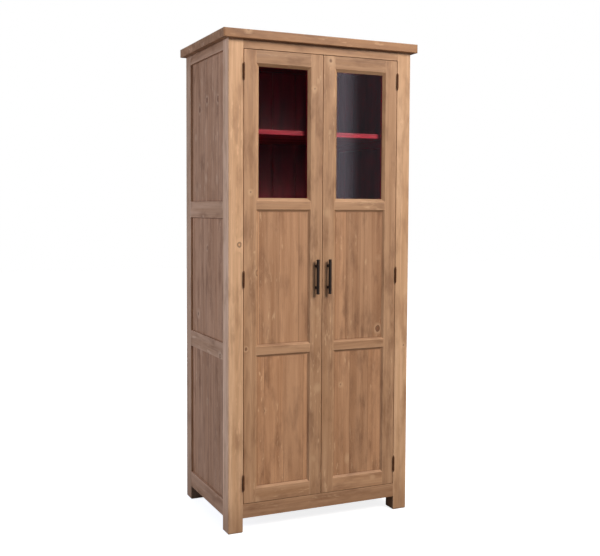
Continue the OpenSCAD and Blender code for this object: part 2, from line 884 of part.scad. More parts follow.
front_left_post();
front_right_post();
rear_left_post();
rear_right_post();
front_top_rail();
front_bottom_rail();
rear_top_rail();
rear_bottom_rail();
left_top_rail();
left_upper_rail();
left_lower_rail();
left_bottom_rail();
right_top_rail();
right_upper_rail();
right_lower_rail();
right_bottom_rail();
left_top_panel();
left_middle_panel();
left_bottom_panel();
right_top_panel();
right_middle_panel();
right_bottom_panel();
top_board();
bottom_board();
back_boards();
shelf_1();
shelf_2();
shelf_3();
shelf_4();
shelf_cleats();
catches();
frame_hinge_leaves();
hinge_pins();
carcass_screws();
left_door_hinge_stile();
left_door_meeting_stile();
left_door_top_rail();
left_door_glass_rail();
left_door_middle_rail();
left_door_bottom_rail();
left_door_glass();
left_door_glazing_beads();
left_door_upper_panel();
left_door_lower_panel();
left_door_handle();
left_door_hinge_leaves();
left_door_fixings();
right_door_hinge_stile();
right_door_meeting_stile();
right_door_top_rail();
right_door_glass_rail();
right_door_middle_rail();
right_door_bottom_rail();
right_door_glass();
right_door_glazing_beads();
right_door_upper_panel();
right_door_lower_panel();
right_door_handle();
right_door_hinge_leaves();
right_door_fixings();
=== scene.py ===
# %% [markdown]
# # A pine pantry cabinet
# This lesson dresses a tall pine larder in Blender. Its frame, two glazed doors, hinges and
# shelves were drawn as solids beforehand, in metres, with X to the right, -Y to the front and
# Z up. The solids are loaded first and never moved. Each step then gives a piece its worked
# edges and its finish, and ties it to the rigid body that it travels with.

# %% Load the frame
import json
import math
import random
from collections import namedtuple
from itertools import product

import bmesh
import bpy
import numpy as np
from mathutils import Matrix, Vector

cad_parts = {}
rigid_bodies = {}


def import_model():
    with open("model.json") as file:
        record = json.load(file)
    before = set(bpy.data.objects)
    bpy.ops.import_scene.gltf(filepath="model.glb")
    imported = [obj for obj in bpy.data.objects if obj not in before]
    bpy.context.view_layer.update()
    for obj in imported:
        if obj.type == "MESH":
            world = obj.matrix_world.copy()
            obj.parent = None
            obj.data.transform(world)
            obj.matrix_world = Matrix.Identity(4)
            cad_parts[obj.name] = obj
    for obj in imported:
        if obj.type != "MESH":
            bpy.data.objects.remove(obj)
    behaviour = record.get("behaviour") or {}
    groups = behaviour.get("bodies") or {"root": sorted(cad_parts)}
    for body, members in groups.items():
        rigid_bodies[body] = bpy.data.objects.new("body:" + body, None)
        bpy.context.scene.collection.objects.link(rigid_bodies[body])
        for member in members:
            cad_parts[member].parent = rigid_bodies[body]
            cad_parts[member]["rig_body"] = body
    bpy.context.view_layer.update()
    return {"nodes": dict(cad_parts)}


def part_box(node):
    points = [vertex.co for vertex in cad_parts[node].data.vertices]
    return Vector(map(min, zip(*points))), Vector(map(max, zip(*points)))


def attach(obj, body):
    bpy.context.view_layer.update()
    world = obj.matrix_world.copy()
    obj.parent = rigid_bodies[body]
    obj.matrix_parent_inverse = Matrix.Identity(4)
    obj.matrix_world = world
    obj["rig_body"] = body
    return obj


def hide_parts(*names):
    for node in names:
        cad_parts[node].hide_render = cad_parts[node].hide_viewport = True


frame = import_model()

# %% [markdown]
# ## Measures of the frame
# The worked pieces take their places from the solids. A few joinery sizes are repeated here:
# the sloping mouldings cut on the doors' rails and stiles, and the grooves that hold panels.

# %% Measures
MM = 0.001
post_low, post_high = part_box("front_left_post")
rear_post_low, rear_post_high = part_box("rear_left_post")
half_width, inner_half = -post_low.x, -post_high.x
face_y, back_y, top_z = post_low.y, rear_post_high.y, post_high.z
door_back_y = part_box("left_door_hinge_stile")[1].y
PANEL_MOULDING, GLASS_MOULDING, STILE_FACE = 8 * MM, 12 * MM, 50 * MM
SIDE_GROOVE, DOOR_GROOVE = 7 * MM, 5 * MM
SIDES, ENDS = ("left", "right"), (-1, 1)
print(f"posts {half_width * 2:.3f} m wide, {back_y - face_y:.3f} m deep, {top_z:.3f} m high")

# %% [markdown]
# ## Helpers for node trees
# Every finish is a small network of nodes. Writing one out by hand takes the same moves again
# and again: add a node, plug a socket in or set its plain value, and take its output. Here the
# tree that is being built lies on a bench, and what comes out of a node is wrapped, so that
# plain sums such as a + b add the nodes that work them out. Each finish then reads like a
# recipe.

# %% Sums with nodes
bench = {}  # bench["tree"] is the tree that is being built


class Flow:
    """What comes out of a node. A sum with it adds the node that works the sum out."""

    def __init__(self, socket):
        self.socket = socket

    def __add__(self, other):
        return calc("ADD", self, other)

    def __sub__(self, other):
        return calc("SUBTRACT", self, other)

    def __rsub__(self, other):
        return calc("SUBTRACT", other, self)

    def __mul__(self, other):
        return calc("MULTIPLY", self, other)

    def __truediv__(self, other):
        return calc("DIVIDE", self, other)

    def __abs__(self):
        return calc("ABSOLUTE", self)


def plug(socket, value):
    """Plugs a flow in, or sets a plain value."""
    if isinstance(value, Flow):
        bench["tree"].links.new(value.socket, socket)
    else:
        socket.default_value = value


def feed(inputs, **values):
    """Feeds several inputs; the spaces in their names are written as underscores."""
    for name, value in values.items():
        plug(inputs[name.replace("_", " ")], value)


def add(kind, inputs=None, **settings):
    """A new node with its settings and its inputs, which go by name or number."""
    node = bench["tree"].nodes.new(kind)
    for name, value in settings.items():
        setattr(node, name, value)
    for name, value in (inputs or {}).items():
        plug(node.inputs[name], value)
    return node


def flow(kind, inputs=None, output=0, **settings):
    """What comes out of a new node at one of its outputs."""
    return Flow(add(kind, inputs, **settings).outputs[output])


def flows(node):
    """All that comes out of a node, by name."""
    return {socket.name: Flow(socket) for socket in node.outputs}


def calc(operation, *values):
    """One step of arithmetic, on vectors if one of the values is a vector."""
    vectors = [v for v in values if isinstance(v, tuple)
               or isinstance(v, Flow) and v.socket.type in {"VECTOR", "RGBA"}]
    return flow("ShaderNodeVectorMath" if vectors else "ShaderNodeMath", dict(enumerate(values)),
                int(operation in {"LENGTH", "DISTANCE"}), operation=operation)


print("sums ready")


# %% Nodes by name
def vector(x=0.0, y=0.0, z=0.0):
    """A vector from three numbers."""
    return flow("ShaderNodeCombineXYZ", {0: x, 1: y, 2: z})


def split(whole):
    """The three numbers of a vector or a colour."""
    return [Flow(socket) for socket in add("ShaderNodeSeparateXYZ", {0: whole}).outputs]


def least_of(numbers):
    """The smallest of three numbers."""
    return calc("MINIMUM", numbers[0], calc("MINIMUM", numbers[1], numbers[2]))


def ramp(value, low, high, out_low=0.0, out_high=1.0):
    """Eases from out_low to out_high while the value goes from low to high."""
    return flow("ShaderNodeMapRange", {
        "Value": value, "From Min": low, "From Max": high, "To Min": out_low,
        "To Max": out_high}, interpolation_type="SMOOTHSTEP")


def mix(factor, below, above, how="MIX"):
    """Lays one colour over another."""
    node = add("ShaderNodeMix", data_type="RGBA", blend_type=how)
    for name, kind, value in (("Factor", "VALUE", factor), ("A", "RGBA", below),
                              ("B", "RGBA", above)):
        plug(next(s for s in node.inputs if s.name == name and s.type == kind), value)
    return Flow(next(s for s in node.outputs if s.type == "RGBA"))


def noise(place, scale, detail=2.0, rough=0.5, output="Fac"):
    """Soft random patches; three scales draw them out along the grain."""
    if isinstance(scale, tuple):
        place, scale = place * scale, 1.0
    return flow("ShaderNodeTexNoise", {
        "Vector": place, "Scale": scale, "Detail": detail, "Roughness": rough}, output)


def new_group(name, kind, inputs, outputs):
    """A node group on the bench: its tree, what its inputs give, and its outputs to feed."""
    tree = bench["tree"] = bpy.data.node_groups.new(name, kind)
    for label, start in inputs.items():
        socket_kind = {float: "Float", int: "Int", tuple: "Color"}.get(type(start), start)
        made = tree.interface.new_socket(label, in_out="INPUT",
                                         socket_type="NodeSocket" + socket_kind)
        if start != socket_kind:
            made.default_value = start
    for label, socket_kind in outputs.items():
        tree.interface.new_socket(label, in_out="OUTPUT", socket_type="NodeSocket" + socket_kind)
    return tree, flows(tree.nodes.new("NodeGroupInput")), tree.nodes.new("NodeGroupOutput").inputs


def use(group, **inputs):
    """Places a shader group in the material on the bench."""
    node = add("ShaderNodeGroup", node_tree=group)
    feed(node.inputs, **inputs)
    return flows(node)


print("node helpers ready")

# %% [markdown]
# ## The figure of pine
# A board shows its tree's growth rings as stripes that run along it. Knots are the branches that
# the saw went through, and the rings swerve round them. A picture of wood would repeat itself, so
# the figure is worked out in three dimensions instead: rings round a crooked heart that lies
# behind the board's face, and scattered knots that push them aside. A piece therefore matches on
# its face, its edge and its end. Each piece carries its own coordinates along and across its
# grain, in metres, so that no two pieces line up.

# %% Knots
rings, given, result = new_group(
    "Pine figure", "ShaderNodeTree",
    {"Place": "Vector", "Seed": 0.0, "Ring width": 4 * MM, "Heart depth": 60 * MM,
     "Knot chance": 0.3},
    dict.fromkeys(("Late wood", "Fibre", "Streak", "Knot", "Knot rim", "Halo", "Pale knot",
                   "Blotch", "Fleck"), "Float"))
here = given["Place"] + vector(*(given["Seed"] * step for step in (3.7, 1.3, 2.1)))

# Knots lie in stretched cells, each with its own chance and size
KNOT_CELL, SMALL_KNOT, LARGE_KNOT = (0.30, 0.085, 0.12), 4.5 * MM, 11 * MM
HALF = (0.5, 0.5, 0.5)
cell_scale = tuple(1 / size for size in KNOT_CELL)
cells = flows(add("ShaderNodeTexVoronoi", {
    "Vector": here * cell_scale, "Scale": 1.0, "Randomness": 0.7}))
wobble = noise(here, 60.0, 1.0, output="Color")
away = here - cells["Position"] / cell_scale + (wobble - HALF) * (0.008, 0.005, 0.0)
luck = split(cells["Color"])
there = calc("LESS_THAN", luck[0], given["Knot chance"])
near = calc("LENGTH", away * (0.8, 1.0, 0.25)) / ramp(luck[1], 0.0, 1.0, SMALL_KNOT, LARGE_KNOT)
feed(result,
     Knot=ramp(near, 1.12, 0.82) * there,
     Knot_rim=ramp(abs(near - 1.0), 0.26, 0.05) * there,
     Halo=ramp(near, 2.6, 1.2) * ramp(near, 1.0, 1.15) * there,
     Pale_knot=calc("GREATER_THAN", luck[2], 0.4))
print(f"knots with a radius of {SMALL_KNOT / MM:.1f} to {LARGE_KNOT / MM:.1f} mm")

# %% Growth rings
# The heart wanders slowly along the board, and the rings are counted out from it
drift = noise(here, (0.7, 2.2, 2.2), 1.5, output="Color")
heart = given["Place"] + (drift - HALF) * (0.0, 0.10, 0.07) + vector(z=given["Heart depth"])
ragged = noise(here, (5.0, 130.0, 130.0))
swerve = calc("EXPONENT", calc("POWER", near / 2.1, 2.0) * -1.0) * there
count = calc("LENGTH", heart * (0.0, 1.0, 1.0)) / given["Ring width"] + ragged * 0.6
phase = calc("FRACT", count + swerve * 2.3)
clear_year = noise(here, (2.4, 38.0, 38.0))
# Pale flecks, where a knock or the plane has broken the stained surface
specks, where = noise(here, (18.0, 85.0, 85.0), 3.0, 0.6), noise(here, (2.2, 9.0, 9.0), 1.0)
feed(result,
     Late_wood=ramp(phase, 0.1, 0.8) * ramp(phase, 1.0, 0.84) * ramp(clear_year, 0.35, 0.7),
     Fibre=noise(here, (14.0, 1100.0, 1100.0), 3.0, 0.7),
     Streak=noise(here, (1.3, 40.0, 40.0), 4.0, 0.65),
     Blotch=noise(here, (7.0, 22.0, 22.0), 4.0, 0.6),
     Fleck=ramp(specks, 0.58, 0.68) * ramp(where, 0.46, 0.60))
print("pine figure:", len(rings.nodes), "nodes")

# %% [markdown]
# ## Boards glued edge to edge
# A wide panel or top is glued up from narrower staves. Each stave comes from another part of the
# tree, so the tone and the rings jump at every joint. This group counts the staves across the
# piece and hands each one its own tone and its own shift of the figure.

# %% Staves
staves, given, result = new_group(
    "Glued staves", "ShaderNodeTree", {"Place": "Vector", "Seed": 0.0, "Stave width": 85 * MM},
    {"Place": "Vector", "Tone": "Float", "Seam": "Float"})
number = split(given["Place"])[1] / given["Stave width"] + calc("FRACT", given["Seed"] * 7.31)
stave = flows(add("ShaderNodeTexWhiteNoise", {
    "Vector": vector(calc("FLOOR", number), given["Seed"])}, noise_dimensions="3D"))
feed(result,
     Tone=stave["Value"],
     Place=given["Place"] + stave["Color"] * (4.0, 0.3, 0.05),
     Seam=ramp(abs(calc("FRACT", number) - 0.5), 0.485, 0.497))
print("staves:", len(staves.nodes), "nodes")

# %% [markdown]
# ## Rubbed edges
# Hands and cloths rub the wax and stain off the corners of a piece, and leave them paler. Every
# piece carries its half sizes, so the distance from any point to its nearest corner is plain
# arithmetic: of the three distances to the piece's sides, the smallest is zero on the surface
# and the middle one is the distance to the nearest edge. Noise breaks the line up.

# %% Edge wear
rubbed, given, result = new_group(
    "Rubbed edges", "ShaderNodeTree",
    {"Place": "Vector", "Half size": "Vector", "Reach": 5 * MM},
    {"Edge": "Float", "Rubbed": "Float"})
sides = split(calc("MAXIMUM", given["Half size"] - abs(given["Place"]), (0.0, 0.0, 0.0)))
most = calc("MAXIMUM", sides[0], calc("MAXIMUM", sides[1], sides[2]))
middle = sides[0] + (sides[1] + sides[2]) - least_of(sides) - most
patches = noise(given["Place"], (18.0, 60.0, 60.0), 3.0)
reach = given["Reach"] * ramp(patches, 0.35, 0.75, 0.15, 1.6)
feed(result, Edge=middle, Rubbed=ramp(middle / reach, 1.0, 0.2))
print("rubbed edges:", len(rubbed.nodes), "nodes")

# %% [markdown]
# ## The painted inside
# The carcass was painted crimson inside after it was put together. The brush stopped in a
# slightly wavy line behind the doors. A group that marks all that lies inside one box paints
# posts, rails and panels alike, so the line runs on from piece to piece.

# %% Paint line
paint_line, given, result = new_group(
    "Inside the carcass", "ShaderNodeTree", dict.fromkeys(("Place", "Low", "High"), "Vector"),
    {"Inside": "Float"})
wave = noise(given["Place"], 28.0, output="Color")
brushed = given["Place"] + (wave - HALF) * (0.0, 0.0024, 0.0024)
depth = least_of(split(calc("MINIMUM", brushed - given["Low"], given["High"] - brushed)))
feed(result, Inside=ramp(depth, 0.0, 0.4 * MM))
PANEL_IN, BACK_BOARD, BEHIND_DOORS = 17 * MM, 8 * MM, 1.5 * MM
LOWEST_PAINT, INTO_TOP = 99.5 * MM, 4 * MM
inside_low = (-half_width + PANEL_IN, door_back_y + BEHIND_DOORS, LOWEST_PAINT)
inside_high = (half_width - PANEL_IN, back_y - BACK_BOARD, top_z + INTO_TOP)
print("painted from", inside_low, "to", inside_high)


# %% [markdown]
# ## Materials
# Each material starts with a Principled shader, whose plain values are set on its own sockets.
# Colour, roughness and bump come from the groups above. Colours are given as they look on a
# screen, from 0 to 255, and turned into the linear values that light works with.

# %% Material helpers
def colour(*screen):
    """A screen colour as linear light."""
    parts = [c / 255 for c in screen]
    return (*(c / 12.92 if c <= 0.04045 else ((c + 0.055) / 1.055) ** 2.4 for c in parts), 1.0)


def new_material(name, seen, **plain):
    """A material on the bench, and its Principled shader with its plain values."""
    material = bpy.data.materials.new(name)
    material.use_nodes = True
    material.diffuse_color = seen
    bench["tree"] = material.node_tree
    shader = material.node_tree.nodes["Principled BSDF"]
    feed(shader.inputs, **plain)
    return material, shader


def attribute(name, output="Vector"):
    """What a piece carries under that name."""
    return flow("ShaderNodeAttribute", output=output, attribute_name=name)


def object_place():
    """Where a point lies, in metres."""
    return flow("ShaderNodeTexCoord", output="Object")


def bump(shader, height, depth):
    """Raises the surface by a height from 0 to 1 times a depth in metres."""
    feed(shader.inputs, Normal=flow("ShaderNodeBump", {"Height": height, "Distance": depth}))


def surface(shader):
    """Gives the material on the bench another shader for its surface."""
    plug(bench["tree"].nodes["Material Output"].inputs["Surface"], shader)


def either(factor, first, second):
    """The first shader where the factor is 0, and the second where it's 1."""
    return flow("ShaderNodeMixShader", {0: factor, 1: first, 2: second})


print("material helpers ready")

# %% [markdown]
# ## Crimson paint
# Brushed paint keeps faint ridges along the stroke, shows the grain a little and lies thicker in
# some places. The strokes follow the grain of each piece, because a painter follows it too.

# %% Brushed paint
CRIMSON, CRIMSON_THIN, CRIMSON_WORN = colour(156, 22, 42), colour(112, 12, 28), colour(174, 60, 74)
strokes, given, result = new_group(
    "Brush strokes", "ShaderNodeTree",
    {"Place": "Vector", "Thick paint": CRIMSON, "Thin paint": CRIMSON_THIN},
    {"Color": "Color", "Height": "Float", "Rough": "Float"})
ridges = noise(given["Place"], (5.0, 420.0, 420.0), 3.0)
cover = noise(given["Place"], (2.5, 14.0, 14.0), 3.0)
thin = ramp(ridges * 0.5 + cover, 0.55, 1.0)
feed(result, Color=mix(thin, given["Thick paint"], given["Thin paint"]), Height=ridges,
     Rough=ramp(cover, 0.3, 0.7, 0.34, 0.5))

red_paint, shader = new_material("Brushed crimson paint", CRIMSON, Specular_IOR_Level=0.2)
look = use(strokes, Place=attribute("grain"))
wear = use(rubbed, Place=attribute("grain"), Half_size=attribute("half_size"), Reach=1.2 * MM)
feed(shader.inputs, Base_Color=mix(wear["Rubbed"] * 0.25, look["Color"], CRIMSON_WORN),
     Roughness=look["Rough"])
bump(shader, look["Height"], 0.15 * MM)
print("made", red_paint.name)

# %% [markdown]
# ## Waxed pine
# The wood is stained a mid brown and waxed. Soft early wood drinks more stain than the hard late
# rings, streaks run along the grain, knots are dark with a darker rim, and rubbed edges are
# paler. One recipe with other values serves the posts, the rails, the thin panels and the top.
# It lays one stain after another, and the paint last.

# %% Pine recipe
BARE, KNOT_RIM = colour(232, 192, 150), colour(76, 44, 28)
DARK_KNOT, PALE_KNOT = colour(120, 70, 40), colour(214, 166, 118)


def waxed_pine(name, pale, mid, dark, ring_width, heart, knots, stave=None, rim=0.0,
               ring_strength=0.26, blotches=0.6, flecks=0.5):
    """A waxed pine finish: pale and dark are its lightest and darkest stain."""
    pale, mid, dark = colour(*pale), colour(*mid), colour(*dark)
    material, shader = new_material(name, mid)
    grain, seed, lift = attribute("grain"), attribute("seed", "Fac"), attribute("tone", "Fac")
    place = grain
    if stave:
        glued = use(staves, Place=grain, Seed=seed, Stave_width=stave)
        place = glued["Place"]
        lift = lift * ramp(glued["Tone"], 0.0, 1.0, 0.91, 1.09)
    figure = use(rings, Place=place, Seed=seed, Ring_width=ring_width, Heart_depth=heart,
                 Knot_chance=knots)
    late, fibre, knot_rim = figure["Late wood"], figure["Fibre"], figure["Knot rim"]
    bare = calc("MAXIMUM", figure["Fleck"], figure["Halo"] * 0.75)
    knot = mix(figure["Pale knot"], DARK_KNOT, PALE_KNOT)
    wood = mix(ramp(figure["Streak"], 0.3, 0.7), pale, mid)
    for strength, stain in (
            (late * ring_strength, dark),
            (ramp(figure["Blotch"], 0.45, 0.75, 0.0, blotches), dark),
            (ramp(fibre, 0.5, 0.8, 0.0, 0.3), dark),
            (bare * flecks, BARE),
            (figure["Knot"] * 0.65, knot),
            (knot_rim * 0.6, KNOT_RIM)):
        wood = mix(strength, wood, stain)
    # The tone scales the wood: a random board tone, or a set tone that also holds painted light and
    # shade
    lift = flow("ShaderNodeCombineColor", {0: lift, 1: lift, 2: lift})
    wood = mix(1.0, wood, lift, "MULTIPLY")
    wear = use(rubbed, Place=grain, Half_size=attribute("half_size"), Reach=4 * MM)
    # A panel's rim is darkened: painted shade in the recess under the mouldings, with some wax
    # build-up
    if rim:
        wood = mix(ramp(wear["Edge"], 5 * MM, 0.5 * MM) * rim, wood, dark)
    else:
        wood = mix(wear["Rubbed"] * 0.4, wood, pale)
    if stave:
        wood = mix(glued["Seam"] * 0.5, wood, dark)
    # The feet are darker near the floor
    place = object_place()
    wood = mix(ramp(split(place)[2], 0.17, 0.02, 0.0, 0.42), wood, dark)
    inside = use(paint_line, Place=place, Low=inside_low, High=inside_high)["Inside"]
    coat = use(strokes, Place=grain)
    rough = ramp(late, 0.0, 1.0, 0.62, 0.5) * (1.0 - inside) + coat["Rough"] * inside
    feed(shader.inputs, Base_Color=mix(inside, wood, coat["Color"]), Roughness=rough)
    bump(shader, late * 0.45 + fibre * 0.55 - knot_rim * 0.5, 0.35 * MM)
    return material


print("pine recipe ready")

# %% Four finishes of pine
frame_pine = waxed_pine(
    "Waxed pine of the frame", (206, 162, 123), (182, 137, 98), (128, 86, 56), 4.5 * MM,
    60 * MM, 0.4)
post_pine = waxed_pine(
    "Waxed pine of the posts", (212, 173, 135), (190, 148, 109), (136, 95, 64), 4.5 * MM,
    70 * MM, 0.45, blotches=0.5, flecks=0.3)
# rim darkens the panels' rims with painted shade and some wax build-up
panel_pine = waxed_pine(
    "Waxed pine of the panels", (204, 156, 116), (172, 124, 86), (106, 68, 42), 6 * MM,
    110 * MM, 0.2, stave=82 * MM, rim=0.4, ring_strength=0.15)
top_pine = waxed_pine(
    "Waxed pine of the top", (178, 134, 95), (152, 109, 73), (100, 66, 44), 4.5 * MM, 80 * MM,
    0.15, stave=118 * MM)
print("made", len((frame_pine, post_pine, panel_pine, top_pine)), "finishes of pine")

# %% [markdown]
# ## Metals, glass and plastic
# The handles are black iron with a slight bloom, the hinges are steel with a dark bronze finish
# that is rubbed paler in places, and the screws are zinc plated. Glass is a plain Principled
# shader that lets light through for shadows, so that the shelves behind it are lit.

# %% Surface grime
mottle, given, result = new_group(
    "Metal surface", "ShaderNodeTree",
    {"Place": "Vector", "Base": "Color", "Worn": "Color", "Low rough": 0.3, "High rough": 0.6},
    {"Color": "Color", "Rough": "Float", "Height": "Float"})
fine, broad = noise(given["Place"], 900.0, 3.0, 0.6), noise(given["Place"], 95.0, 4.0, 0.6)
feed(result, Color=mix(ramp(broad, 0.5, 0.78), given["Base"], given["Worn"]),
     Rough=given["Low rough"] + (given["High rough"] - given["Low rough"]) * fine,
     Height=fine * 0.4 + broad)
print("metal surface:", len(mottle.nodes), "nodes")


# %% Metal, plastic and glass
def metal(name, base, worn, metallic, low_rough, high_rough, relief):
    """A metal or plastic with a mottled surface."""
    base = colour(*base)
    material, shader = new_material(name, base, Metallic=metallic)
    look = use(mottle, Place=object_place(), Base=base, Worn=colour(*worn),
               Low_rough=low_rough, High_rough=high_rough)
    feed(shader.inputs, Base_Color=look["Color"], Roughness=look["Rough"])
    bump(shader, look["Height"], relief)
    return material


black_iron, bronze, zinc, catch_plastic = (metal(*values) for values in (
    ("Black iron", (46, 36, 31), (66, 50, 40), 0.2, 0.42, 0.62, 0.1 * MM),
    ("Dark bronzed steel", (98, 60, 32), (132, 86, 50), 0.2, 0.42, 0.62, 0.06 * MM),
    ("Zinc plated steel", (186, 184, 176), (150, 148, 140), 1.0, 0.25, 0.45, 0.02 * MM),
    ("Ivory catch plastic", (224, 216, 196), (206, 196, 172), 0.0, 0.35, 0.5, 0.03 * MM)))
glass, shader = new_material(
    "Window glass", (0.92, 0.96, 0.95, 1.0), Base_Color=(0.93, 0.965, 0.955, 1.0),
    Roughness=0.0, IOR=1.5, Transmission_Weight=1.0)
surface(either(flow("ShaderNodeLightPath", output="Is Shadow Ray"), Flow(shader.outputs[0]),
               flow("ShaderNodeBsdfTransparent")))
print("made", ", ".join(m.name for m in (black_iron, bronze, zinc, catch_plastic, glass)))

# %% [markdown]
# ## Shapes
# Most pieces are a plain outline drawn out along one axis. These helpers make such a solid, cut
# one from another and shade the result, round where it's rounded and flat where it's flat.

# %% Shape helpers
OTHERS = ((1, 2), (0, 2), (0, 1))
FLAT = 0.9995


def mesh_of(bm):
    """A mesh with what a bmesh holds."""
    mesh = bpy.data.meshes.new("shape")
    bm.to_mesh(mesh)
    bm.free()
    return mesh


def link(name, mesh):
    """A new object for a mesh."""
    obj = bpy.data.objects.new(name, mesh)
    bpy.context.scene.collection.objects.link(obj)
    return obj


def plain_mesh(obj):
    """What an object looks like with its modifiers, as a plain mesh of its own."""
    seen = obj.evaluated_get(bpy.context.evaluated_depsgraph_get())
    return bpy.data.meshes.new_from_object(seen)


def cut(mesh, tool_meshes, operation="DIFFERENCE"):
    """A mesh with others cut away from it or joined to it."""
    obj = link("stock", mesh)
    tools = [link("tool", m) for m in tool_meshes]
    for tool in tools:
        step = obj.modifiers.new("cut", "BOOLEAN")
        step.operation, step.solver, step.object = operation, "EXACT", tool
    made = plain_mesh(obj)
    for gone in [obj, *tools]:
        bpy.data.objects.remove(gone)
    return made


def shade(mesh, angle=33, flats=True):
    """Smooth shading, but not over corners sharper than the angle or, with flats, flat sides."""
    bm = bmesh.new()
    bm.from_mesh(mesh)
    for face in bm.faces:
        face.smooth = not flats or max(abs(c) for c in face.normal) < FLAT
    for line in bm.edges:
        line.smooth = len(line.link_faces) == 2 and line.calc_face_angle(3) < math.radians(angle)
    bm.to_mesh(mesh)
    bm.free()
    return mesh


print("mesh helpers ready")


# %% Outlines drawn out
def prism(axis, outline, low, high):
    """A solid with that outline in the other two axes, from low to high along the axis."""
    bm = bmesh.new()
    rows = []
    for end in (low, high):
        rows.append([])
        for pair in outline:
            point = [end] * 3
            point[OTHERS[axis][0]], point[OTHERS[axis][1]] = pair
            rows[-1].append(bm.verts.new(point))
    bm.faces.new(rows[0])
    bm.faces.new(reversed(rows[1]))
    for i in range(len(outline)):
        j = (i + 1) % len(outline)
        bm.faces.new((rows[0][j], rows[0][i], rows[1][i], rows[1][j]))
    bmesh.ops.recalc_face_normals(bm, faces=bm.faces)
    return mesh_of(bm)


def bar_outline(u0, u1, v0, v1, ease):
    """A rectangle with its corners cut off."""
    return [(u0 + ease, v0), (u1 - ease, v0), (u1, v0 + ease), (u1, v1 - ease),
            (u1 - ease, v1), (u0 + ease, v1), (u0, v1 - ease), (u0, v0 + ease)]


def join(meshes):
    """Several meshes as one, with what their corners carry."""
    bm = bmesh.new()
    for mesh in meshes:
        bm.from_mesh(mesh)
    return mesh_of(bm)


print("outline helpers ready")

# %% [markdown]
# ## Working the edges
# No timber keeps a knife-sharp corner: a plane or sandpaper takes it off. Bevelling the whole
# solid would stop at every mortise and hinge recess, so each edge is planed the way a joiner
# does it instead. A long cutter with the shape of what the plane removes is subtracted along
# the edge. The mortises, grooves and screw holes of the solid stay as they are.

# %% Edge cutters
STEPS, PLANE_MARGIN, WELD = 4, 0.6 * MM, 2e-6
ALL_ROUND = list(product(ENDS, ENDS))


def edges(radius, corners=ALL_ROUND):
    """Which corners of a bar's section are rounded, and how much."""
    return [(signs, radius) for signs in corners]


def cutter(axis, low, high, signs, radius):
    """The sliver that a plane takes off one edge of the box from low to high."""
    corner = [(low, high)[s > 0][k] for s, k in zip(signs, OTHERS[axis])]
    middle = [c - s * radius for c, s in zip(corner, signs)]
    outline = [(middle[0] + signs[0] * radius * math.sin(a),
                middle[1] + signs[1] * radius * math.cos(a))
               for a in (i * math.pi / 2 / STEPS for i in range(STEPS + 1))]
    far = [c + s * PLANE_MARGIN for c, s in zip(corner, signs)]
    outline += [(far[0], middle[1]), (far[0], far[1]), (middle[0], far[1])]
    return prism(axis, outline, low[axis] - PLANE_MARGIN, high[axis] + PLANE_MARGIN)


def welded(node):
    """A CAD node's loose triangles, joined at their corners."""
    bm = bmesh.new()
    bm.from_mesh(frame["nodes"][node].data)
    bmesh.ops.remove_doubles(bm, verts=bm.verts, dist=WELD)
    return bm


def worked(node, rounds):
    """A CAD node's shape after planing; rounds lists (axis, low, high, edges)."""
    bm = welded(node)
    bmesh.ops.dissolve_limit(bm, angle_limit=math.radians(0.5), verts=bm.verts, edges=bm.edges)
    return shade(cut(mesh_of(bm), [
        join(cutter(axis, low, high, *edge) for edge in planed)
        for axis, low, high, planed in rounds]))


print("edge cutters ready")

# %% [markdown]
# ## Which way the grain runs
# Before a piece gets its wood, it's told which way its grain runs, where its middle is and how
# big it is. Every corner of the mesh carries the coordinates along, across and through the
# board, and a number that picks its part of the tree. The numbers come from a fixed list, so
# the cabinet looks the same each time. The pieces at the front get a set tone instead, paler
# for the posts and darker for the doors. These set tones were matched to how bright each piece
# looks under the lamps. So besides the boards' own tone they hold painted light and shade,
# such as the darker right door.

# %% Grain
ALONG_X, ALONG_Y, ALONG_Z = 0, 1, 2
lot = random.Random(319)


def carry(mesh, name, kind, values):
    """Stores one value for each corner of the mesh."""
    made = mesh.attributes.new(name, kind, "POINT")
    numbers = np.asarray(values, np.int32 if kind == "INT" else np.float32)
    made.data.foreach_set("vector" if kind == "FLOAT_VECTOR" else "value", numbers.ravel())


def give_grain(mesh, order, low, high, board=None, step=(0, 0, 0), tone=None):
    """order is the axes along, across and through; board i lies i steps from low and high."""
    n = len(mesh.vertices)
    co = np.zeros(n * 3, np.float32)
    mesh.vertices.foreach_get("co", co)
    co = co.reshape(-1, 3)
    board = np.zeros(n, int) if board is None else board
    centre = (np.array(low) + np.array(high)) / 2 + board[:, None] * np.array(step)
    half = np.tile((np.array(high) - np.array(low)) / 2, (n, 1))
    seeds = np.array([lot.uniform(0, 9) for _ in range(board.max() + 1)])
    tones = np.array([lot.uniform(0.94, 1.08) for _ in range(board.max() + 1)])
    if tone is not None:
        tones[:] = tone
    carry(mesh, "grain", "FLOAT_VECTOR", (co - centre)[:, list(order)])
    carry(mesh, "half_size", "FLOAT_VECTOR", half[:, list(order)])
    carry(mesh, "seed", "FLOAT", seeds[board])
    carry(mesh, "tone", "FLOAT", tones[board])


print("grain ready")


# %% Finished pieces
def finish_piece(name, mesh, material, node, stands_for=True):
    """Puts a finished mesh in the scene: it rides with its CAD node's body and stands for it."""
    mesh.name = name
    mesh.materials.clear()
    mesh.materials.append(material)
    piece = link(name, mesh)
    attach(piece, frame["nodes"][node]["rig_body"])
    if stands_for:
        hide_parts(node)
    return piece


def timber(node, order, rounds, low, high, material=frame_pine, slot="pine_frame"):
    """A piece of timber from its CAD node, planed and given its grain."""
    mesh = worked(node, [(axis, low, high, planed) for axis, planed in rounds])
    # A set tone holds painted light and shade as well as the board's own tone
    give_grain(mesh, order, low, high, tone=BOARD_TONES_AND_PAINTED_LIGHT.get(node))
    return finish_piece(node + ".wood", mesh, material, node)


def panel(node, order, groove):
    """A thin panel with upright grain; what its grooves hide doesn't count as its size."""
    low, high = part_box(node)
    for axis in order[:2]:
        low[axis] += groove
        high[axis] -= groove
    timber(node, order, [], low, high, panel_pine, "pine_panel")


print("timber helpers ready")
